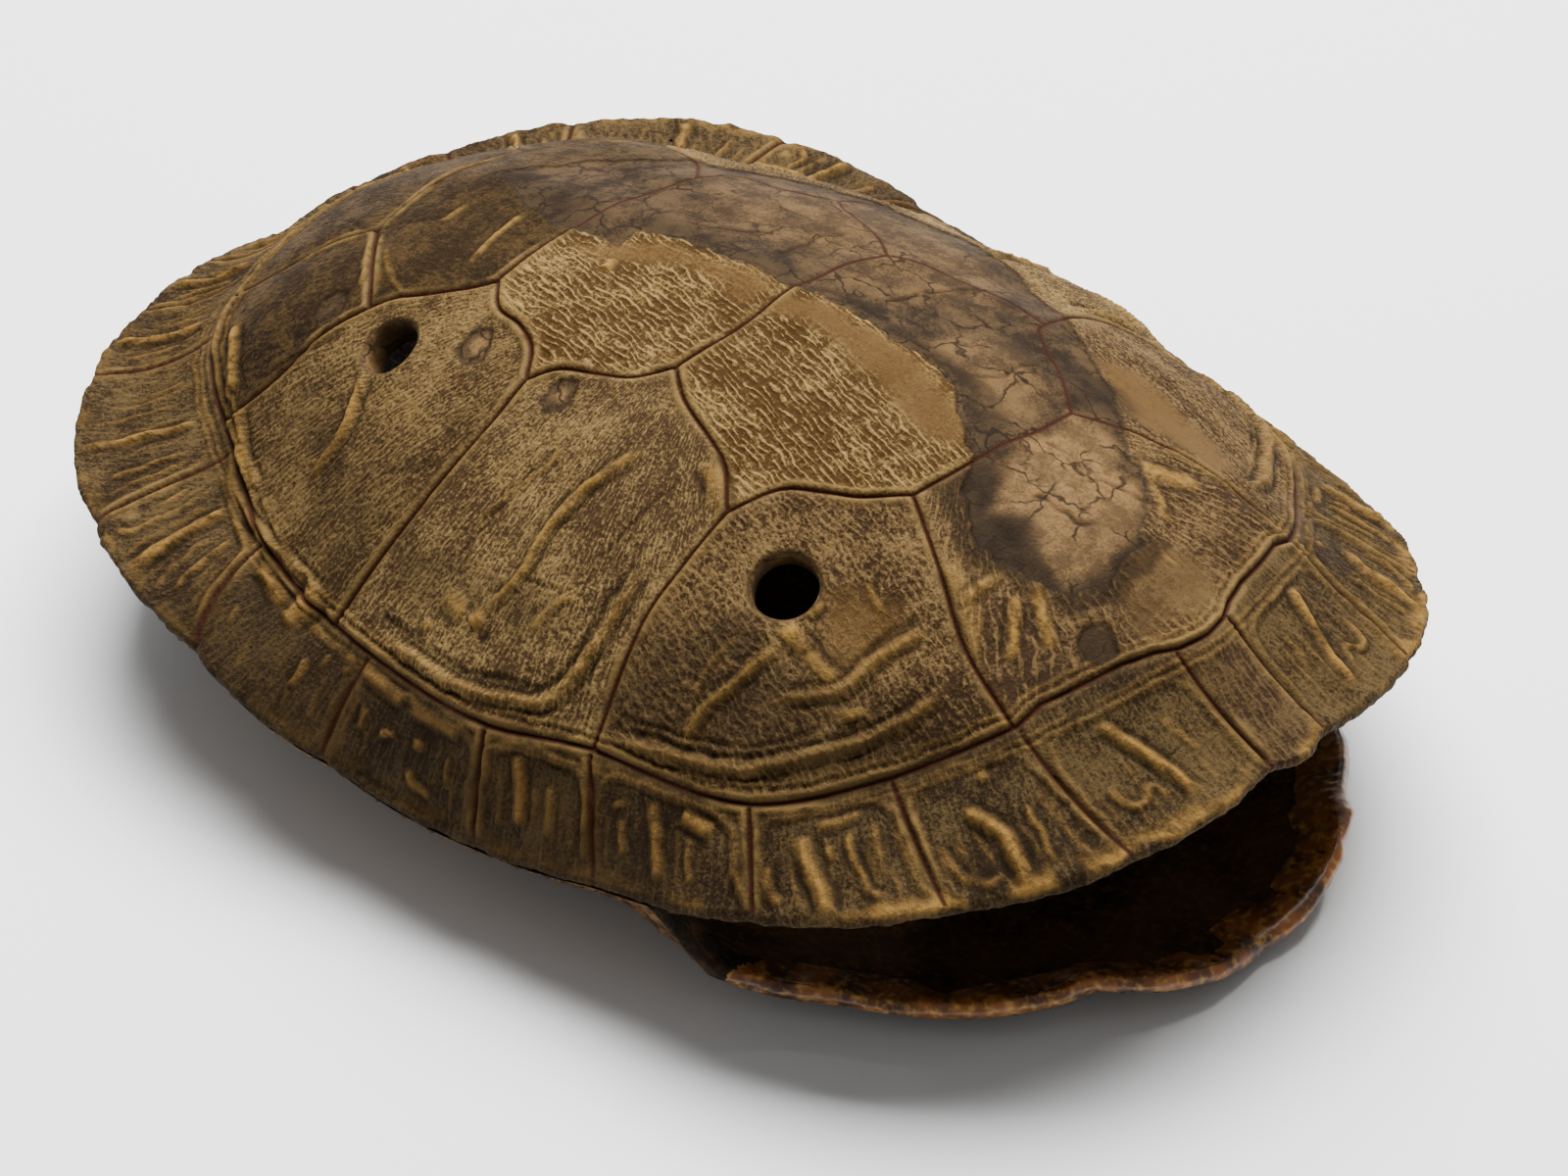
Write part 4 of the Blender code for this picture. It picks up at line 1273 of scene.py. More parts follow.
def ride(piece: Object) -> None:
    """Fix a finished piece to the shell and report it."""
    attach(piece, "root")
    LOG.info("%s: %d triangles", piece.name, len(piece.data.polygons))


# ---- the carapace ----

# well inside the bare bone, or well away from it, in mm
DEEP = 30.0

# where the horn has flaked off the back, (x, y) from above
BARE_BONE = (
    (-66, 2), (-60, -2), (-52, -5), (-45, -7), (-40, -8), (-32, -9), (-24, -8), (-23, -3),
    (-18, -1.5), (-12, -1.7), (-4, -1), (2, 0.7), (10, 0), (14, 2.7), (19, 3), (26, 3.3),
    (32, 2.8), (37.5, 3.8), (41.5, 3.4), (45.5, 1.5), (50.5, -1), (55, -4), (58.5, -7.3),
    (62, -14), (67, -18), (74, -18), (80, -15), (86, -13), (89, -7), (87, 3), (84, 8),
    (80, 12), (74, 17), (68, 21), (62, 26), (55, 32), (48, 36), (37, 42), (20, 50),
    (0, 54), (-20, 48), (-40, 32), (-55, 16))

# small spots where the horn is worn through, (x, y) from above
WORN_SPOTS = (
    ((-32.5, -39.5), (-33, -37), (-32, -34), (-29, -33.5), (-27, -36.5), (-25, -39.5),
     (-28, -41)),
    ((-9.3, -41), (-9.8, -38.3), (-9.4, -36), (-6.2, -34.8), (-4.8, -37.3), (-4.6, -40.5),
     (-6.7, -42.5)),
    ((-69.3, -40.5), (-70.3, -37.5), (-68.8, -35), (-65.8, -35), (-64.2, -37.7),
     (-63.7, -41)),
    ((94.4, -12.3), (97.4, -14.2), (96.4, -17.3), (94.3, -19), (91.7, -18), (90.7, -16),
     (91.7, -12.8)))

# what raises a mark on the dome: strength, fade, corners as (x, y) from above
PATCHES = {
    "pale": (
        (1.0, 2.6, ((60, 2), (61, 10), (60, 17), (65, 19), (72, 14.5), (80, 11), (84, 5),
         (87, -7), (84, -12.5), (77, -12), (72, -8), (67, -12), (64, -5))),
        (0.45, 4.0, ((36, 7), (46, 6), (55, 2), (58, 10), (52, 19), (40, 22), (30, 16))),
        (0.3, 5.0, ((-20, 10), (20, 12), (30, 30), (20, 44), (-10, 44), (-30, 25))),
        (1.0, 0.8, ((-31.8, -38.5), (-31.8, -36), (-29.5, -34.5), (-27.5, -37),
         (-27, -39.5))),
        (0.5, 3.0, ((92, -32), (100, -36), (114, -36), (130, -20), (130, 20), (114, 36),
         (100, 36), (92, 32), (100, 20), (100, -20))),
        (0.3, 3.0, ((88, -18), (97, -16), (100, 0), (97, 16), (88, 12), (90, -4))),
        (0.8, 0.8, ((-8.3, -40), (-8.3, -37), (-6, -36), (-5.8, -39.5)))),
    "dirt": (
        # the first two patches darken the lower right flank broadly: partly stains, partly
        # painted shade where the flank turns from the light
        (0.65, 6.0, ((36, -58), (46, -54), (54, -52), (60, -50), (70, -47), (90, -38),
         (84, -52), (72, -64), (55, -71), (40, -75), (32, -72))),
        (0.35, 8.0, ((-18, -58), (-40, -55), (-60, -48), (-76, -44), (-76, -60),
         (-55, -72), (-20, -80))),
        (0.4, 5.0, ((86, -30), (93, -28), (98, -10), (98, 10), (93, 28), (88, 26), (92, 8),
         (92, -10))),
        (0.75, 1.4, ((57, -16), (63, -19), (70, -21), (77, -20), (83, -17), (88, -15),
         (92, -8), (92, 0), (88, 8), (84, 5), (87, -7), (84, -12.5), (77, -12), (72, -8),
         (67, -12), (64, -5), (59, -6))),
        (0.5, 1.6, ((10, 1), (14, 3.5), (19, 4), (26, 4.5), (32, 4), (37.5, 5), (41.5, 5),
         (46, 3), (51, 0), (55, -3), (59, -6), (60, 0), (54, 5), (48, 8), (42, 9), (34, 8),
         (26, 8), (18, 8), (12, 6))),
        (0.45, 1.6, ((-30, -8), (-23, -3), (-18, -1.5), (-12, -1.7), (-4, -1), (2, 0.7),
         (9, 1), (8, 5), (0, 5), (-10, 3), (-20, 3), (-28, 0))),
        (0.5, 2.0, ((-70, -4), (-62, -4), (-52, -6), (-44, -9), (-34, -9), (-32, -2),
         (-42, 2), (-55, 3), (-66, 2))),
        (0.6, 2.0, ((48, 24), (58, 20), (63, 25), (62, 31), (56, 34), (50, 32))),
        (0.5, 2.5, ((-61, -57.5), (-47.5, -62), (-36, -68), (-22, -68), (-29, -63.5),
         (-45.5, -55.5), (-61, -52.5))),
        (0.7, 0.5, WORN_SPOTS[3]),
        (0.7, 2.0, ((42, -52.5), (47, -50), (53, -50), (56, -53), (55, -58), (46, -57))),
        (0.6, 1.5, ((50.5, -65), (51, -59), (55, -51.5), (62.5, -50), (71, -51),
         (66.5, -60), (59, -66))),
        (0.4, 1.5, ((24, -65), (22, -70), (7, -73), (-8.5, -72), (-6.5, -66),
         (8.5, -65.5))),
        (0.55, 2.0, ((34, -62), (42, -61), (50, -60), (56, -62), (52, -67), (44, -70),
         (36, -71))),
        (0.4, 2.0, ((57, -58), (64, -53), (69, -50), (74, -51), (70, -58), (62, -63),
         (55, -66))),
        (0.55, 2.0, ((-17, -64), (-12, -66), (-4, -68), (-5, -74), (-16, -74))),
        (0.5, 1.5, ((10, -65), (14, -64), (17, -66), (16, -71), (10, -71))),
        (0.45, 1.0, ((-8, -79.5), (2, -80.5), (10, -81), (20, -79.5), (28, -77), (33, -72),
         (34, -77), (26, -82), (10, -84), (-8, -83))),
        (0.45, 3.0, ((-40, -62), (-30, -62), (-22, -64), (-22, -75), (-34, -75),
         (-44, -70)))),
    "smooth": (
        (1.0, 2.2, ((10, -2), (20, 1), (32, 1), (41, 2), (50, -2), (54, -6), (48, -9),
         (38, -7), (28, -5), (18, -4), (10, -6))),
        (0.9, 2.2, ((-30, -12), (-20, -5), (-10, -4), (2, -2), (8, -2), (6, -7), (-4, -6),
         (-14, -8), (-24, -13))),
        (0.7, 3.0, ((58, -36), (66, -35), (72, -36), (70, -41), (67, -46), (61, -46),
         (57, -42))),
        (1.0, 2.0, ((46, 36), (52, 42), (60, 43), (70, 42), (78, 38), (77, 33), (70, 30),
         (62, 29), (56, 33))),
        (0.3, 5.0, ((-40, -26), (-58, -37), (-70, -41), (-84, -44), (-100, -36), (-108, 0),
         (-100, 36), (-84, 44), (-58, 37), (-40, 22))),
        (0.6, 3.0, ((87, 0), (91, -8), (98, -8), (101, 0), (98, 8), (91, 10))))}

RIGHT_ONLY = (Side.RIGHT,)
LEFT_ONLY = (Side.LEFT,)
BOTH = tuple(Side)

# sides, then their strokes: path as (x, y) from above on the right side, height,
# half width, stain
DOME_STROKES = (
    (BOTH, (
        (((-5, -68), (-3, -61.5), (-1.5, -53.5), (-1, -46.5)), -0.3, 0.4, 0.6),
        (((20.5, -57), (21.7, -48.5), (23, -38.5)), -0.3, 0.4, 0.6),
        (((-21, -67.5), (-21, -58), (-20.5, -46.5)), -0.3, 0.4, 0.5),
        (((-32.7, -67.5), (-32.4, -61), (-32.3, -54.5)), -0.3, 0.4, 0.5))),
    (RIGHT_ONLY, (
        (((-100, -19), (-92, -15), (-77, -19), (-65, -15), (-55, -10)), -0.2, 0.5, 0.5),
        (((-46.3, -23.8), (-47.4, -15.9), (-48.1, -8.3)), 0.4, 0.6, 0.8),
        (((-61.9, -15), (-61.7, -9.7)), 0.35, 0.6, 0.7),
        (((-64, -34), (-66, -31), (-70, -27), (-74, -22)), 0.4, 0.6, 0.5),
        (((-52, -33), (-60, -30), (-68, -24)), 0.3, 0.5, 0.4))),
    (BOTH, (
        (((14, -39), (12, -45), (10, -51), (9, -57), (9.5, -65), (7, -72)), 0.9, 0.85, 0.9),
        (((-48, -47), (-46, -50.4), (-43.6, -55.2), (-43.3, -60), (-44.2, -65)), 1.0, 0.95,
         0.95),
        (((-90, -42), (-86, -46), (-82, -50), (-77, -54)), 0.9, 1.1, 0.95),
        (((-18, -75), (-8, -77), (1, -77.6), (9, -78), (17, -76.5), (22, -75), (25.5, -73),
         (26.7, -68), (26.4, -64), (26, -58), (26, -50)), -0.4, 0.5, 0.95),
        (((-12, -78.5), (-8, -79), (1, -79.7), (9, -80.1), (18, -78.5), (24, -76.3),
         (27.6, -73.2), (28.6, -68), (28.3, -62), (28, -52)), 0.95, 0.9, 0.5),
        (((37, -73), (46, -71), (53, -69), (61, -66), (67, -61), (72, -55), (77, -48),
         (80.5, -41), (81, -36)), 1.2, 0.95, 0.5),
        (((38, -70), (46, -68.3), (53, -66.3), (60, -63.3), (65.5, -58.6), (70, -53)),
         -0.4, 0.5, 0.95),
        (((-73, -56), (-68, -60), (-62, -64), (-55, -67.5)), 0.8, 1.0, 0.8),
        (((-70, -61.5), (-62, -67), (-53, -71), (-42, -74.5), (-32, -76.5), (-23, -78)),
         0.7, 0.8, 0.5))),
    (RIGHT_ONLY, (
        (((-2, -45.5), (1, -46.5), (1, -49), (-2, -55), (-5, -61)), 0.35, 0.5, 0.5),
        (((-2, -71), (4, -72.3)), 0.6, 1.3, 0.8),
        (((-3, -75), (-1, -75.5)), 0.6, 1.0, 0.8),
        (((8, -71), (6.5, -73)), 1.0, 1.7, 1.0),
        (((24, -35.5), (29, -37.5), (32.5, -41)), 0.6, 1.2, 0.6),
        (((20.5, -62), (18.5, -66), (17.5, -70)), 0.4, 0.6, 0.7),
        (((10, -65), (14, -64), (19, -63)), -0.35, 0.4, 1.0),
        (((56, -41), (56, -44.5)), 0.6, 0.9, 0.7),
        (((56.6, -46), (56, -49)), 0.9, 1.9, 1.0),
        (((56, -49.5), (54, -55.7), (52.8, -60), (51, -64.5), (51.7, -69)), 0.85, 0.9, 0.9),
        (((57, -47.5), (63, -48.2), (67, -48.3)), 0.6, 1.1, 0.95),
        (((70.8, -48.8), (72.4, -49.8)), 0.9, 2.0, 1.0),
        (((73.5, -33), (70.7, -38), (69, -43), (68, -48), (64.7, -51.7), (60, -57)), 0.7,
         0.9, 0.5),
        (((71.5, -32), (68.7, -37.5), (67, -43)), -0.3, 0.6, 0.5),
        (((49, -53), (48, -58), (48.5, -63)), 0.4, 0.6, 0.6),
        (((60, -34), (66, -36.5)), 0.4, 0.6, 0.4),
        (((82.5, -33), (79, -29), (74, -26), (68, -23.5)), 0.5, 1.2, 0.5),
        (((74.8, -27), (75.2, -23), (75.6, -19)), 0.5, 0.8, 0.8),
        (((79.5, -20), (83, -24), (86.6, -28.4)), 0.5, 0.8, 0.9),
        (((80, -15.5), (84, -18.5), (87, -20.4), (89.5, -22.5)), 0.5, 0.9, 0.9),
        (((90.5, -15), (94.5, -14)), -0.6, 2.0, 0.9),
        (((88, 5.4), (93, 5.6)), 0.3, 0.5, 0.5))),
    (LEFT_ONLY, (
        (((72.5, -17.5), (77, -21), (80.5, -25.5)), 0.5, 1.6, 1.0),
        (((75, -18), (80, -15), (85, -11.5)), 0.4, 0.8, 0.8))),
    (RIGHT_ONLY, (
        (((-22, -11.5), (-20.5, -14.5)), 0.4, 0.9, 0.9),
        (((-58, -41), (-66, -47), (-74, -53)), -0.3, 0.5, 0.8))))

# fine cracks in the bare bone, (x, y) from above
CRACKS = (
    ((19.5, 10.5), (21.2, 14.4), (21.3, 20.9), (23, 28.6), (24.8, 34)),
    ((14, 3), (18, 4.5), (19.5, 6), (26, 6.5)),
    ((-0.8, 6.2), (-1.5, 13.5), (-2.6, 20.4), (-1, 26)),
    ((43, 6), (47, 12.9), (46.4, 15.5), (47.2, 23)),
    ((26, 6), (33, 6), (39, 7), (44, 5)),
    ((69.8, -5.8), (71.8, -3.2), (75, -3.6), (78.7, -2.2), (80, 0)),
    ((72.1, 5.2), (74, 9), (76.7, 10.7), (80, 13)),
    ((62, 6), (66, 8), (70, 7.5)),
    ((-20, 4), (-12, 8), (-8, 15)))

# strokes on each marginal scute: path as (percent from the seam ahead to the seam
# behind, percent from the costals to the rim), height, half width, stain; scutes
# without a table of their own take the last one
MARGINAL_STROKES = {
    1: ((((63, 8), (53, 38), (47, 62), (45, 88)), 0.9, 0.85, 1.0),
        (((82, 48), (80, 66), (72, 70), (62, 60), (57, 76)), 0.5, 0.6, 0.6),
        (((30, 25), (26, 60)), 0.3, 0.6, 0.4)),
    2: ((((64, 30), (50, 55), (52, 78), (54, 99)), 1.0, 1.05, 1.0),
        (((88, 50), (85, 75), (74, 88), (62, 82)), 0.5, 0.7, 0.5),
        (((27, 40), (31, 65), (37, 88)), 0.5, 0.6, 0.5),
        (((41, 10), (40, 18)), 0.4, 0.9, 0.6)),
    3: ((((68, 24), (64, 50), (60, 75), (59, 99)), 1.0, 1.1, 1.0),
        (((57, 22), (40, 18), (26, 15)), 0.5, 0.7, 0.6),
        (((35, 25), (38, 42), (36, 60), (34, 78), (25, 85)), 0.6, 0.6, 0.6),
        (((22, 30), (24, 70)), 0.5, 0.6, 0.5),
        (((8, 33), (7, 80), (4, 96)), 0.5, 0.6, 0.5),
        (((90, 52), (90, 78), (82, 88)), 0.5, 0.7, 0.5),
        (((48, 36), (52, 44), (47, 50)), 0.5, 0.6, 0.5)),
    4: ((((57, 12), (56, 45), (54, 88)), 0.9, 0.95, 1.0),
        (((80, 42), (78, 75)), 0.6, 0.7, 0.7),
        (((35, 35), (35, 82)), 0.6, 0.6, 0.6),
        (((10, 42), (10, 70)), 0.5, 0.6, 0.5),
        (((40, 18), (30, 22), (20, 28)), 0.6, 1.1, 0.9),
        (((22, 8), (10, 20), (8, 50), (7, 92)), 0.5, 0.6, 0.4),
        (((82, 28), (80, 34)), 0.5, 1.2, 0.8)),
    5: ((((66, 10), (64, 30), (62, 50), (62, 76)), 0.9, 0.85, 1.0),
        (((36, 33), (36, 55), (37, 79)), 0.7, 0.7, 0.7),
        (((50, 40), (50, 64)), 0.4, 0.6, 0.4),
        (((93, 26), (92, 50)), 0.5, 0.6, 0.5),
        (((45, 6), (20, 10), (6, 25), (3, 50), (10, 95)), 0.5, 0.6, 0.4)),
    6: ((((98, 10), (80, 11), (58, 12)), 0.8, 0.9, 0.9),
        (((56, 13), (35, 14), (15, 16)), 0.6, 0.9, 0.8),
        (((66, 46), (65, 54)), 0.6, 1.1, 0.9),
        (((42, 36), (42, 48)), 0.6, 1.1, 0.8),
        (((85, 38), (84, 64)), 0.6, 0.7, 0.6),
        (((47, 70), (40, 80), (28, 80)), 0.5, 0.6, 0.8),
        (((22, 40), (20, 70)), 0.4, 0.6, 0.4)),
    7: ((((50, -4), (53, 10), (56, 26)), 1.3, 1.9, 1.0),
        (((30, 33), (30, 64)), 0.6, 0.7, 0.7),
        (((85, 42), (86, 66)), 0.5, 0.6, 0.5),
        (((12, 3), (5, 12), (10, 24)), 0.5, 0.6, 0.6),
        (((20, 14), (20, 32)), 0.4, 0.6, 0.5),
        (((92, 5), (75, 8), (60, 12)), 0.6, 1.0, 0.8)),
    8: ((((51, 6), (54, 30), (56, 60), (58, 97)), 1.0, 1.05, 1.0),
        (((25, 13), (26, 40), (28, 78)), 0.5, 0.6, 0.6),
        (((78, 52), (78, 75), (86, 92)), 0.5, 0.6, 0.7),
        (((88, 30), (86, 55)), 0.4, 0.6, 0.5),
        (((95, 5), (60, 5), (20, 6), (5, 14), (4, 50), (4, 95)), 0.5, 0.6, 0.5)),
    9: ((((39, 10), (42, 40), (44, 70), (46, 99)), 0.9, 0.85, 1.0),
        (((20, 25), (20, 80)), 0.5, 0.6, 0.5),
        (((10, 30), (12, 70)), 0.3, 0.5, 0.4),
        (((62, 30), (60, 75)), 0.3, 0.5, 0.4),
        (((77, 15), (74, 65)), 0.3, 0.5, 0.4))}


@dataclass
class Carapace:
    """The domed upper shell: horn scutes outside, bone inside; sizes in mm."""

    form: ShellForm
    plan: SeamPlan
    step: float = 0.5
    bone_step: float = 1.7
    seam_depth: float = 0.5
    seam_half_width: float = 0.4
    lip_height: float = 0.5
    lip_offset: float = 1.0
    lip_half_width: float = 0.65
    # height, half width and stain of a crack in the bone
    crack: tuple = (-0.3, 0.45, 1.0)
    wave_height: float = 1.3
    wave_length: float = 22.0
    flake: float = 0.35
    holes: tuple = (((50, -43), 11.5), ((-47, -42), 11.0))
    hole_depths: tuple = (3.4, 5.4)
    # how far from its middle a drilled hole can matter
    hole_reach: float = 15.0
    bevel: float = 0.4
    spine_height: float = 3.0
    rib_height: float = 0.9
    rib_spacing: float = 20.0
    finishes: tuple = (
        Keratin("weathered keratin, nuchal", HornGrain(0.12, 1.5, 8.0, 0.10, 0.8, 1.0),
                "#291C11", "#4B3A22", "#423020"),
        Keratin("weathered keratin, front of the back",
                HornGrain(0.20, 1.3, 6.0, 0.20, 0.7, 5.0), "#2E2012", "#665030", "#4E3A20",
                blotch=0.6),
        Keratin("weathered keratin, back", HornGrain(0.38, 1.2, 6.5, 0.24, 0.75, 3.0),
                "#38260F", "#7E663C", "#4C361A", vivid=0.85, blotch=0.7),
        # the rear scutes are coloured darker, partly as painted shade where they turn from
        # the light
        Keratin("weathered keratin, rear", HornGrain(0.05, 1.6, 5.0, 0.16, 0.8, 4.0),
                "#1C1207", "#402F15", "#31230E", blotch=1.3),
        Keratin("weathered keratin, shoulder", HornGrain(0.14, 1.3, 4.0, 0.24, 0.6, 7.0),
                "#2A1C0E", "#685231", "#503A1C", blotch=0.5),
        Keratin("weathered keratin, flank", HornGrain(0.14, 1.1, 6.0, 0.24, 0.6, 8.0),
                "#302212", "#6F5934", "#50391C", blotch=0.55),
        Keratin("weathered keratin, side", HornGrain(0.14, 1.1, 6.0, 0.24, 0.6, 8.0),
                "#362717", "#7B643C", "#5A4222", blotch=0.55),
        # the marginals are coloured darker, partly as painted shade where the lower flanks
        # turn from the light
        Keratin("weathered keratin, margin", HornGrain(0.06, 1.4, 9.0, 0.12, 0.6, 9.0),
                "#21170C", "#4C3C22", "#3C2C16", ochre="#80602F", vivid=0.5,
                blotch=0.7))
    finish_of: dict = field(default_factory=lambda: {
        (Part.NUCHAL, 1): 0, (Part.VERTEBRAL, 1): 1, (Part.VERTEBRAL, 2): 2,
        (Part.VERTEBRAL, 3): 2, (Part.VERTEBRAL, 4): 3, (Part.VERTEBRAL, 5): 3,
        (Part.COSTAL, 1): 4, (Part.COSTAL, 2): 6, (Part.COSTAL, 3): 5, (Part.COSTAL, 4): 3})
    margin_finish: int = 7
    # growth ridges that run right round: share s below the border, height
    rings: tuple = ((-0.01, 0.35), (-0.023, 0.3), (0.035, 0.25), (0.09, 0.2))
    ring_half_width: float = 0.38
    ring_stain: float = 0.35
    # the raised frame of each marginal scute, from its rim round under the costals
    frame: tuple = ((0.05, 0.97), (0.045, 0.6), (0.05, 0.3), (0.08, 0.16), (0.16, 0.085),
                    (0.3, 0.06), (0.5, 0.05), (0.7, 0.06), (0.84, 0.085), (0.92, 0.16),
                    (0.95, 0.3), (0.955, 0.6), (0.95, 0.97))
    frame_half_width: float = 0.6
    frame_stain: float = 0.2
    first_flared: int = 8

    def __post_init__(self) -> None:
        """Unroll the outside and lay out the seams."""
        self.flat = FlatMap(self.form)
        self.map = ScuteMap(self.form, self.plan)

    def hole_frame(self, plan: tuple) -> tuple[Array, Array]:
        """The middle and the direction of a drilled hole."""
        angle, s = self.form.to_polar([plan])
        return self.form.outer(angle, s)[0], self.form.outward(angle, s)[0]

    def hole_loops(self) -> list:
        """The edge of each drilled hole on the flat."""
        loops = []
        for plan, diameter in self.holes:
            centre, normal = self.hole_frame(plan)
            side = np.cross(normal, [1.0, 0.0, 0.0])
            side /= np.linalg.norm(side)
            fore = np.cross(side, normal)
            turn = np.linspace(0, TURN, 500)[:, None]
            loop = centre + (np.cos(turn) * fore + np.sin(turn) * side) * diameter / 2
            loops.append(self.flat.flatten(*self.form.to_polar(loop[:, :2])))
        return loops

    def from_hole(self, points: Array) -> Array:
        """Distance in mm outside the edge of the nearest drilled hole."""
        nearest = np.full(len(points), FAR)
        for plan, diameter in self.holes:
            centre, normal = self.hole_frame(plan)
            offset = points - centre
            flat = offset - (offset @ normal)[:, None] * normal
            away = np.where(lengths(offset) < self.hole_reach,
                            lengths(flat) - diameter / 2, FAR)
            nearest = np.minimum(nearest, away)
        return nearest

    def grid(self, shares: tuple, step: float, spare: float, count: int,
             lines: list) -> SnappedGrid:
        """Triangles on the flat, from the back down to a share, with the holes open.

        Args:
            shares: Shares whose lines it is pulled onto, first the one where it ends.
            step: Length of a triangle's side.
            spare: How far the grid reaches past its edge before it is cut.
            count: Number of points round each share's line.
            lines: More lines that the grid is pulled onto.

        Returns:
            The grid.
        """
        around = np.linspace(0, TURN, count)
        rounds = [self.flat.flatten(around, np.full_like(around, s)) for s in shares]
        grid = SnappedGrid(rounds[0].min(0) - spare, rounds[0].max(0) + spare, step,
                           lines + self.hole_loops() + rounds)
        angle, s = self.flat.raise_up(grid.middles())
        middles = self.form.outer(angle, np.clip(s, 0, 3))
        grid.keep((s < shares[0] - 1e-3) & (self.from_hole(middles) > 0))
        return grid

    def outer_sheet(self) -> tuple[Sheet, Array]:
        """The whole outside as one sheet, and the scute of each triangle."""
        lines = [self.flat.flatten(*line) for line in self.map.lines]
        grid = self.grid((3.0, 2.0), self.step, 1.0, 7000, lines)
        angle, s = self.flat.raise_up(grid.points)
        s = np.clip(s, 0, 3)
        points = self.form.outer(angle, s)
        middle_angle, middle_s = self.flat.raise_up(grid.middles())
        middles = points[grid.faces].mean(axis=1)
        scutes = self.map.scute(middle_angle, middle_s, middles)
        marks = self.outer_marks(points, angle, s, grid.points)
        return Sheet(points, grid.faces, marks), scutes

    def worn(self, points: Array) -> Array:
        """How far inside the bare bone each place is, in mm; negative on horn."""
        ragged = swing(points, 3.0, 5.0, 21) + swing(points, 1.6, 1.8, 22)
        worn = np.full(len(points), -DEEP)
        for loop, wander in [(BARE_BONE, 1.0)] + [(spot, 0.2) for spot in WORN_SPOTS]:
            inside = -signed_distance(points[:, :2], np.array(loop, float))
            worn = np.maximum(worn, inside + wander * ragged)
        return np.clip(np.maximum(worn, 0.45 - self.from_hole(points)), -DEEP, DEEP)

    def outer_marks(self, points: Array, angle: Array, s: Array, flat: Array) -> dict:
        """Everything that the grain and the finish need to know at each point.

        Args:
            points: Places on the outside.
            angle: Their polar angles.
            s: Their shares.
            flat: Their places on the flat.

        Returns:
            The marks by name.
        """
        seam = self.map.seam_distance(points)
        worn = self.worn(points)
        carving, cracks = Carving(points), Carving(points, 1.3)
        for stroke in self.strokes():
            carving.add(stroke)
        for path in CRACKS:
            place = self.form.outer(*self.form.to_polar(smooth_path(path, 1.0)))
            cracks.add(Stroke(place, *self.crack))
        ragged = swing(points, 3.0, 4.0, 24)
        patched = {mark: np.max([Patch(*row).share(points, ragged) for row in rows], axis=0)
                   for mark, rows in PATCHES.items()}
        hole = self.from_hole(points)
        groove = self.seam_depth * bump(seam, self.seam_half_width)
        bare = ramp(worn, -0.3, 0.5)
        low = s > self.map.border(angle)
        shallow = np.where(~low & (hole > 2), 1 - 0.75 * bare, 1.0)
        shallow = shallow * (1 - ramp(s, 1.86, 2.0))
        waves = swing(points, self.wave_height, self.wave_length, 31) * ramp(seam, 0, 6)
        carve = carving.height * (1 - bare) - groove * shallow + waves * (s < 2)
        carve -= self.flake * bare + self.bevel * bump(hole, self.bevel) * (hole < 3)
        carve += self.rim_bite(points, s) + cracks.height * bare
        # the marginals over the bridges and under their rim are darkened: painted shade
        darkening = 0.5 * self.form.bridge_share(angle) * ramp(s, 1.02, 1.2)
        rosy = np.maximum(ramp(points[:, 0], 75, 90), 0.35 * ramp(points[:, 1], 62, 78))
        rubbed = ramp(noise(points, 5.0, 26), 0.42, 0.62) * bump(s - 1.98, 0.09) \
            * (0.2 + 0.6 * rosy)
        dirt = np.maximum(np.maximum(carving.dirt * (1 - bare), patched["dirt"]),
                          np.maximum(cracks.dirt * bare, darkening))
        run = lengths(flat)
        return {"lift": self.form.outward(angle, s), "polar": np.stack([angle, s, run], -1),
                "seam": np.where(s > 2, 3.0, seam), "worn": worn, "carve": carve,
                "ochre": np.maximum(carving.ochre * (1 - bare), rubbed),
                "dirt": dirt * (hole > 1.2), "smooth": patched["smooth"],
                "pale": np.maximum(patched["pale"], 0.9 * bump(hole, 0.7)),
                "lip": shallow}

    def raise_lips(self, part: Sheet, seed: int) -> None:
        """Raise a lip along the seams of a scute, strong in some places and lost in others.

        Args:
            part: The scute.
            seed: Picks where the lip is strong.
        """
        near = bump(part.marks["seam"] - self.lip_offset, self.lip_half_width)
        patchy = ramp(noise(part.points, 11.0, 300 + seed), 0.4, 0.62)
        lip = near * part.marks["lip"] * (0.15 + 0.85 * patchy)
        part.marks["lip"] = lip
        part.marks["carve"] = part.marks["carve"] + self.lip_height * lip

    def flow(self, kind: ScuteKind, points: Array, polar: Array) -> Array:
        """Places on a scute, x along its folds and y across them, in mm.

        Args:
            kind: Which scute.
            points: Places on it.
            polar: Their angles, shares and distances along the meridian.

        Returns:
            Rows of x, y and nought.
        """
        angle, s, run = polar.T
        plan = points[:, :2]
        if kind.part is Part.MARGINAL:
            along, across = 21 * s, 95 * angle
        elif kind.part is Part.COSTAL and kind.number > 1:
            along, across = run, 70 * angle
        elif (kind.part, kind.number) == (Part.VERTEBRAL, 1):
            away = plan - np.array([50.0, 0.0])
            along, across = np.hypot(*away.T), 30 * np.arctan2(away[:, 1], away[:, 0])
        else:
            turn = math.radians(-9)
            along = plan @ np.array([math.cos(turn), math.sin(turn)])
            across = plan @ np.array([-math.sin(turn), math.cos(turn)])
        return np.stack([along, across, np.zeros(len(s))], -1)

    def rim_bite(self, points: Array, s: Array) -> Array:
        """Small notches worn into the rim."""
        notches = swing(points, 1.0, 3.0, 41) + swing(points, 0.5, 1.4, 42)
        return bump(s - 2.1, 0.25) * notches

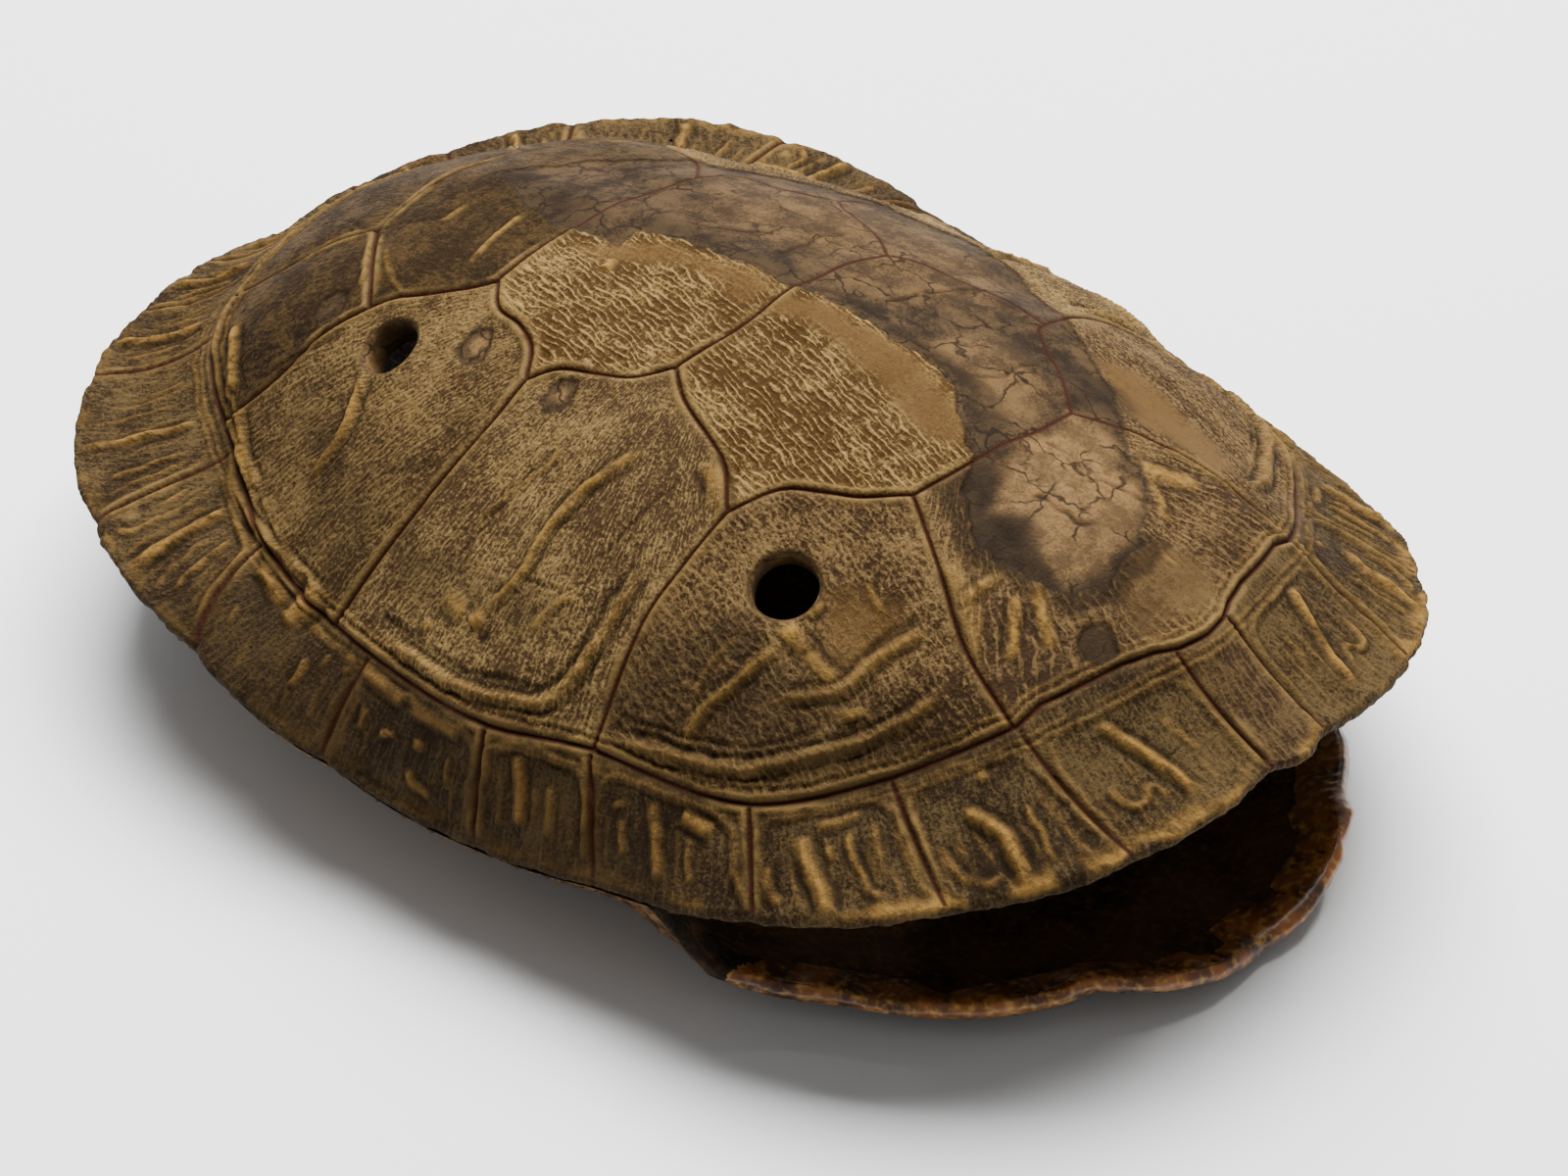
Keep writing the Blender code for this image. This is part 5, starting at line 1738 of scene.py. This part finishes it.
    def strokes(self) -> list:
        """Every stroke on the outside."""
        made = []
        for sides, table in DOME_STROKES:
            for (path, *kind), side in itertools.product(table, sides):
                line = smooth_path(self.plan.turn(side, path), 1.0)
                made.append(Stroke(self.form.outer(*self.form.to_polar(line)), *kind))
        for side, index in itertools.product(Side, range(1, MARGINALS + 1)):
            made += self.marginal_strokes(side, index)
        around = np.linspace(0, TURN, 700)
        for share, height in self.rings:
            path = self.form.outer(around, self.map.border(around) + share)
            made.append(Stroke(path, height, self.ring_half_width, self.ring_stain, True))
        return made

    def marginal_strokes(self, side: Side, index: int) -> list:
        """The bars and the growth lines of one marginal scute.

        Args:
            side: Which flank.
            index: 1 at the head to 12 at the tail.

        Returns:
            The strokes, some drawn and some random.
        """
        drawn = MARGINAL_STROKES[min(index, max(MARGINAL_STROKES))]
        table = [(np.array(spots) / 100, *kind) for spots, *kind in drawn]
        draw = np.random.default_rng(100 * index + side.value)
        flared = index >= self.first_flared
        height = draw.uniform(0.0, 0.15) if flared else draw.uniform(0.15, 0.4)
        table.append((self.frame, height, self.frame_half_width, self.frame_stain))
        for at in np.arange(0.05, 0.97, 0.065 if flared else 0.12):
            a = at + draw.uniform(-0.03, 0.03)
            top = draw.uniform(0.02, 0.3) if flared else draw.uniform(0.2, 0.55)
            foot = draw.uniform(0.75, 0.98)
            spots = ((a, top), (a + draw.uniform(-0.02, 0.02), foot))
            table.append((spots, draw.uniform(0.12, 0.32), draw.uniform(0.35, 0.6),
                          draw.uniform(0.0, 0.3)))
        made = []
        for spots, *kind in table:
            line = smooth_path(spots, 0.04)
            place = self.form.outer(*self.form.marginal_polar(side, index, line))
            made.append(Stroke(resample(place, 1.0), *kind))
        return made

    def inner_sheet(self) -> Sheet:
        """The bone inside, from the back down to the lip under the rim."""
        grid = self.grid((self.form.lip_s,), self.bone_step, 2.0, 4000, [])
        angle, s = self.flat.raise_up(grid.points)
        s = np.clip(s, 0, self.form.lip_s)
        points = self.form.inside(angle, s)
        inward = -self.form.outward(angle, np.minimum(s, 1))
        clear = ramp(self.from_hole(points + inward * -self.form.wall), 0, 4) \
            * ramp(self.form.lip_s - s, 0, 0.15)
        x, y = points[:, 0], points[:, 1]
        spine = self.spine_height * bump(y, 4.5) * ramp(95 - np.abs(x), 0, 12)
        wave = np.cos(TURN * (x + 0.08 * np.abs(y)) / self.rib_spacing)
        ribs = self.rib_height * (0.5 + 0.5 * wave) \
            * ramp(np.abs(y), 4, 20) * ramp(1.05 - s, 0, 0.3)
        rough = swing(points, 0.8, 6.0, 51)
        thick = np.zeros(len(points))
        for (plan, diameter), depth in zip(self.holes, self.hole_depths):
            away = lengths(points[:, :2] - np.array(plan))
            thick += (depth - self.form.wall) * ramp(2.2 * diameter - away, 0, 14)
        points = points + inward * ((spine + ribs + rough) * clear + thick)[:, None]
        return Sheet(points, grid.faces[:, ::-1], {"lift": inward})

    def build(self) -> None:
        """Make every piece of the carapace."""
        dressed = [finish.make() for finish in self.finishes]
        sheet, scutes = self.outer_sheet()
        names = [kind.piece() for kind in self.map.kinds]
        pieces = []
        for name in dict.fromkeys(names):
            numbers = [i for i, own in enumerate(names) if own == name]
            part = sheet.part(np.isin(scutes, numbers))
            kind = self.map.kinds[numbers[0]]
            part.marks["flow"] = self.flow(kind, part.points, part.marks.pop("polar"))
            self.raise_lips(part, numbers[0])
            if kind.part is Part.COSTAL and kind.side is Side.RIGHT:
                self.wall_holes(part)
            chosen = self.finish_of.get((kind.part, kind.number), self.margin_finish)
            piece = make_object(name, part, dressed[chosen])
            self.finishes[chosen].grain.apply(piece, dressed[chosen])
            ride(piece)
            pieces.append(piece)
        # bare bone is matt and porous, and soaks stains up in broad patches
        bone = make_object("carapace_bone", self.inner_sheet(), Stained(
            "dry bone, stained inside", "#140C06", "#2A1B0F", "#4A3520", 14.0, 1.2,
            0.7).make())
        ride(bone)
        for piece in pieces + [bone]:
            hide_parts("carapace")

    def wall_holes(self, part: Sheet) -> None:
        """Give the drilled holes of a costal scute their walls, painted dark as shade."""
        edges = part.border()
        away = self.from_hole(part.points)
        for (plan, diameter), depth in zip(self.holes, self.hole_depths):
            near = lengths(part.points[:, :2] - np.array(plan)) < diameter
            rim = np.all((away < 0.2)[edges] & near[edges], axis=1)
            part.add_skirt(edges[rim], depth)


def signed_distance(points: Array, loop: Array) -> Array:
    """Distance from a closed loop in the plane, negative inside it.

    Args:
        points: Places in the plane.
        loop: The loop's corners.

    Returns:
        The distance of each place.
    """
    distance = np.full(len(points), FAR)
    inside = np.zeros(len(points), bool)
    x, y = points[:, 0], points[:, 1]
    for a, b in zip(loop, np.roll(loop, -1, axis=0)):
        ab = b - a
        t = nearest_share(points, a, b)
        distance = np.minimum(distance, lengths(points - a - t[:, None] * ab))
        if a[1] != b[1]:
            spans = (a[1] > y) != (b[1] > y)
            inside ^= spans & (x < ab[0] * (y - a[1]) / ab[1] + a[0])
    return np.where(inside, -distance, distance)


# ---- the plastron ----

# what the belly's even horn has none of
UNMARKED = ("ochre", "dirt", "smooth", "pale", "lip")


@dataclass
class Plastron:
    """The flat lower shell with the two bridges that climb to the carapace."""

    form: ShellForm
    gap: float = 0.4
    plate: float = 4.0
    bridge_points: int = 18
    bridge_run: float = 36.0
    lobe_run: float = 20.0
    edge_in: float = 1.0
    edge_up: float = 2.8
    step: float = 0.9
    bone_step: float = 1.3
    seam_depth: float = 0.6
    wrap: float = 8.0
    front_lobe: tuple = (
        (120.0, 0.0, 3.0), (121.3, 9.0, 5.0), (119.8, 18.0, 7.3), (116.5, 26.0, 9.0),
        (111.3, 30.3, 9.5), (107.5, 38.0, 8.2), (99.5, 48.0, 7.0), (90.0, 55.5, 6.3),
        (80.0, 62.0, 6.7), (71.0, 68.5, 7.3), (63.5, 74.5, 10.8))
    rear_lobe: tuple = (
        (-60.0, 77.0, 19.0), (-64.0, 66.0, 9.5), (-70.0, 60.0, 6.5), (-82.0, 56.0, 5.2),
        (-94.0, 50.0, 5.2), (-104.0, 41.0, 6.0), (-111.0, 30.0, 7.0), (-114.0, 21.0, 7.5),
        (-113.5, 10.0, 7.2), (-111.0, 0.0, 6.8))
    seams: tuple = (
        ((100.0, 0.0), (111.3, 30.3)), ((70.0, 0.0), (88.0, 56.5)),
        ((36.0, 0.0), (50.0, 70.0)), ((-22.0, 0.0), (-40.0, 70.0)),
        ((-66.0, 0.0), (-74.0, 58.5)))
    tooth: tuple = (113.0, 33.0)
    names: tuple = ("gular", "humeral", "pectoral", "abdominal", "femoral", "anal")

    def loops(self) -> tuple[Array, Array]:
        """The plate's lower and upper edges, point for point."""
        ends = self.form.at_seams(np.linspace(*self.form.bridge, self.bridge_points))
        drop = np.array([0.0, 0.0, self.gap])
        low_bridge = self.form.low_edge(-ends) - drop
        high_bridge = self.form.knee(-ends) - drop
        low, high = [], []
        for lobe in (self.front_lobe, self.rear_lobe):
            edge = smooth_path([(x, -y, z) for x, y, z in lobe], 6.0)
            along = unit(np.gradient(edge[:, :2], axis=0))
            inward = np.stack([-along[:, 1], along[:, 0]], -1) * -self.edge_in
            upper = edge + np.column_stack([inward, np.full(len(edge), self.edge_up)])
            upper[np.abs(edge[:, 1]) < 1e-6, 1] = 0.0
            low.append(edge)
            high.append(upper)
        low = np.vstack([low[0], low_bridge, low[1]])
        high = np.vstack([high[0], high_bridge, high[1]])
        flip = np.array([1.0, -1.0, 1.0])
        return tuple(np.vstack([edge, (edge * flip)[-2:0:-1]]) for edge in (low, high))

    def climb(self, plan: Array, loop: Array, floor: float, shorten: float) -> Array:
        """Height of a plate that is flat in the middle and climbs to a loop.

        Args:
            plan: Places from above.
            loop: Points of the edge.
            floor: Height of the middle.
            shorten: How much sooner the bridges level out.

        Returns:
            The height at each place.
        """
        run = self.lobe_run + (self.bridge_run - shorten - self.lobe_run) \
            * np.clip((loop[:, 2] - 10) / 8, 0, 1)
        height = np.zeros(len(plan))
        for start in range(0, len(plan), 10000):
            part = slice(start, start + 10000)
            away = lengths(plan[part, None] - loop[None, :, :2])
            weight = 1 / (away + 0.3) ** 4
            weight /= weight.sum(axis=1, keepdims=True)
            share = np.clip(1 - away.min(axis=1) / (weight @ run), 0, 1)
            height[part] = floor + (weight @ (loop[:, 2] - floor)) * share ** 1.5
        return height

    def sheet(self, loop: Array, floor: float, shorten: float, step: float,
              lines: list) -> Sheet:
        """One face of the plate as a sheet with upward lift.

        Args:
            loop: Points of its edge.
            floor: Height of its middle.
            shorten: How much sooner the bridges level out.
            step: Length of a triangle's side.
            lines: Lines that the triangles follow.

        Returns:
            The sheet.
        """
        dense = resample(np.vstack([loop, loop[:1]]), 0.15)
        plan = dense[:, :2]
        grid = SnappedGrid(plan.min(0) - 2, plan.max(0) + 2, step, [plan] + lines)
        grid.keep(signed_distance(grid.middles(), loop[:, :2]) < 0)
        spots = grid.points
        height = self.climb(spots, dense[::20], floor, shorten)
        tilt = [(self.climb(spots + shift, dense[::20], floor, shorten) - height) / 0.5
                for shift in (np.array([0.5, 0.0]), np.array([0.0, 0.5]))]
        edge = np.clip(-signed_distance(spots, loop[:, :2]), 0, None)
        tree = search_tree(dense[:, :2])
        for k in np.flatnonzero(edge < 0.4):
            _, i, _ = tree.find((*spots[k], 0.0))
            height[k] = dense[i, 2]
        lift = unit(np.column_stack([-tilt[0], -tilt[1], np.ones(len(spots))]))
        return Sheet(np.column_stack([spots, height]), grid.faces,
                     {"lift": lift, "edge": edge})

    def under(self, loop: Array) -> Sheet:
        """The horn under the plate, marked with its seams.

        Args:
            loop: Points of the plate's lower edge.

        Returns:
            The sheet, facing down.
        """
        middle = resample(np.array([self.front_lobe[0][:2], self.rear_lobe[-1][:2]]), 0.15)
        lines = [middle]
        for centre, edge in self.seams:
            for sign in (-1, 1):
                lines.append(resample(np.array([centre, (edge[0], sign * edge[1])]), 0.15))
        sheet = self.sheet(loop, 0.0, 0.0, self.step, lines)
        tree = search_tree(np.vstack(lines))
        plan = sheet.points[:, :2]
        seam = np.array([tree.find((x, y, 0.0))[2] for x, y in plan.tolist()])
        down = -sheet.marks["lift"]
        clear = ramp(sheet.marks["edge"], 0, 2)
        rings = 0.25 * np.sin(seam * 2.2) * ramp(seam, 1.5, 5) * ramp(22 - seam, 0, 12)
        carve = (rings + swing(sheet.points, 0.5, 8.0, 61)) * clear \
            - self.seam_depth * bump(seam, 0.6)
        carve = np.where(sheet.points[:, 2] < 1.0, np.minimum(carve, 0.0) - 0.1, carve)
        flat = np.column_stack([plan, np.zeros(len(plan))])
        nought = np.zeros(len(plan))
        sheet.marks = {"lift": down, "flow": flat, "seam": seam, "carve": carve,
                       "worn": nought - DEEP, **dict.fromkeys(UNMARKED, nought)}
        sheet.faces = sheet.faces[:, ::-1]
        return sheet

    def scute(self, plan: Array) -> Array:
        """Which pair of scutes each place is in, from 0 at the throat to 5 at the tail."""
        found = np.zeros(len(plan), int)
        for (x0, y0), (x1, y1) in self.seams:
            share = np.abs(plan[:, 1]) / y1
            found += plan[:, 0] < x0 + (x1 - x0) * share
        return found

    def lip(self, low: Array, high: Array) -> Sheet:
        """The rounded edge, turned over onto the inside of the plate.

        Args:
            low: Points of the plate's lower edge.
            high: Points of its upper edge.

        Returns:
            The sheet.
        """
        low, high = (resample(np.vstack([line, line[:1]]), 0.7) for line in (low, high))
        count = len(low)
        at = np.linspace(0, 1, count)
        high = np.stack([np.interp(at, np.linspace(0, 1, len(high)), high[:, k])
                         for k in range(3)], -1)
        dense = high[::4]
        along = np.roll(low, -1, axis=0) - np.roll(low, 1, axis=0)
        along[0] = along[-1] = low[1] - low[-2]
        out = unit(np.stack([along[:, 1], -along[:, 0], np.zeros(count)], -1))
        out *= np.sign(((low - low.mean(0)) * out).sum(1))[:, None]
        rows, lifts = [], []
        away = lengths(low[:, :2] - np.array(self.tooth))
        round_by = (0.8 + 3.2 * bump(away, 4.0))[:, None]
        for t in np.linspace(0, 1, 7):
            rows.append(low + (high - low) * t + out * round_by * math.sin(math.pi * t))
            lifts.append(out)
        for inset in np.linspace(0, self.wrap, 9)[1:]:
            plan = high[:, :2] - out[:, :2] * inset
            top = self.climb(plan, dense, self.plate, self.form.lip_width)
            share = inset / self.wrap
            rows.append(np.column_stack([plan, top + 0.35 * (1 - share ** 2) - 0.15 * share]))
            lifts.append(np.tile([0.0, 0.0, 1.0], (count, 1)))
        points, lift = np.vstack(rows), np.vstack(lifts)
        clear = np.repeat([0.0] + [1.0] * (len(rows) - 2) + [0.0], count)
        swell = swing(points, 0.9, 5.0, 71) + swing(points, 0.4, 1.8, 72)
        points = points + lift * (swell * clear)[:, None]
        i = np.arange(count - 1)
        faces = []
        for row in range(len(rows) - 1):
            a, b = row * count + i, row * count + (i + 1) % count
            c, d = a + count, b + count
            faces += [np.stack([a, b, d], -1), np.stack([a, d, c], -1)]
        return Sheet(points, np.vstack(faces), {})

    def build(self) -> None:
        """Make every piece of the plastron."""
        low, high = self.loops()
        # the belly is rubbed on the ground, so its horn is smoother than the back's
        finish = Keratin("smooth keratin, belly", HornGrain(0.06, 2.2, 9.0, 0.08, 1.6, 13.0),
                         "#281A0D", "#5E4526", "#452F18", roughness=0.5)
        horn = finish.make()
        sheet = self.under(low)
        scutes = self.scute(sheet.points[sheet.faces].mean(axis=1)[:, :2])
        pieces = []
        for i, name in enumerate(self.names):
            part = sheet.part(scutes == i)
            piece = finish.grain.apply(make_object(f"{name}_scutes", part, horn), horn)
            pieces.append(piece)
        over = self.sheet(high, self.plate, self.form.lip_width, self.bone_step, [])
        swell = swing(over.points, 1.2, 9.0, 81) * ramp(over.marks["edge"], 0, 5)
        over.points = over.points + over.marks["lift"] * swell[:, None]
        pieces.append(make_object("plastron_bone", over, Stained(
            "dry bone, blackened inside", "#2A1B0F", "#48301C", "#5E4226", 12.0, 1.5,
            0.75).make()))
        lip = self.lip(low, high)
        middle = lip.points[lip.faces].mean(axis=1)
        rear = (np.abs(middle[:, 1]) > 64) & (middle[:, 0] < 66) | (middle[:, 0] < -50)
        # thick horn rubbed smooth shines a little and lets light in, so it looks amber
        pieces.append(make_object("throat_lip", lip.part(~rear), Stained(
            "polished horn lip, amber", "#3A2010", "#7E4A1A", "#B98D47", 7.0, 1.4, 0.35,
            gloss=0.45).make()))
        # the edges under the bridges and round the tail are coloured very dark: partly dust,
        # partly painted shade where the shell shades them
        pieces.append(make_object("bridge_and_tail_edges", lip.part(rear), Stained(
            "dusty horn, bridges", "#140D08", "#2A1F14", "#43341F", 6.0, 0.9, 0.8,
            0.4).make()))
        for piece in pieces:
            ride(piece)
            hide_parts("plastron")


# ---- floor, light and camera ----

@dataclass
class Studio:
    """A pale floor, soft light from above and the photograph's point of view."""

    azimuth: float = 44.13
    elevation: float = 37.90
    roll: float = 0.13
    lens: float = 103.8
    place: tuple = (455.2, -459.0, 517.9)

    def camera(self) -> None:
        """Set up the camera."""
        az, el, roll = (math.radians(v) for v in (self.azimuth, self.elevation, self.roll))
        back = Vector((math.sin(az) * math.cos(el), -math.cos(az) * math.cos(el),
                       math.sin(el)))
        right = Vector((math.cos(az), math.sin(az), 0.0))
        up = back.cross(right)
        side = right * math.cos(roll) + up * math.sin(roll)
        top = up * math.cos(roll) - right * math.sin(roll)
        data = bpy.data.cameras.new("camera")
        data.lens = self.lens
        data.sensor_width = 36.0
        data.clip_start = 0.01
        camera = add_object("camera", data)
        turn = Matrix((side, top, back)).transposed().to_4x4()
        camera.matrix_world = Matrix.Translation(Vector(self.place) * MM) @ turn
        bpy.context.scene.camera = camera

    def light(self, name: str, place: tuple, size: float, watts: float) -> None:
        """Add a soft square light that looks at the shell.

        Args:
            name: What it is called.
            place: Where it hangs, in metres.
            size: Its width in metres.
            watts: Its power.
        """
        data = bpy.data.lights.new(name, "AREA")
        data.shape = "SQUARE"
        data.size = size
        data.energy = watts
        lamp = add_object(name, data)
        lamp.location = place
        lamp.rotation_euler = (Vector((0, 0, 0.04)) - Vector(place)).to_track_quat(
            "-Z", "Y").to_euler()

    def build(self) -> None:
        """Make the floor, the lights and the camera."""
        self.camera()
        mesh = bpy.data.meshes.new("floor")
        reach = 3.0
        mesh.from_pydata([(-reach, -reach, 0), (reach, -reach, 0), (reach, reach, 0),
                          (-reach, reach, 0)], [], [(0, 1, 2, 3)])
        # uncoated paper scatters nearly all the light and has no shine
        paper, _ = begin("matt white paper", {"Base Color": linear("#F4F4F4"),
                                              "Roughness": 0.9})
        mesh.materials.append(paper)
        floor = add_object("floor", mesh)
        world = bpy.data.worlds.new("studio")
        world.use_nodes = True
        sky = world.node_tree.nodes["Background"]
        sky.inputs["Color"].default_value = (1.0, 1.0, 1.0, 1.0)
        sky.inputs["Strength"].default_value = 0.28
        bpy.context.scene.world = world
        self.light("overhead", (-0.2, 0.3, 1.1), 0.9, 54.0)
        self.light("back", (-0.7, 0.7, 0.7), 0.6, 6.0)


def main() -> None:
    """Build the scene and report its pieces."""
    logging.basicConfig(level=logging.INFO, format="%(name)s: %(message)s")
    form = ShellForm()
    Studio().build()
    Carapace(form, SeamPlan()).build()
    Plastron(form).build()


if __name__ == "__main__":
    main()
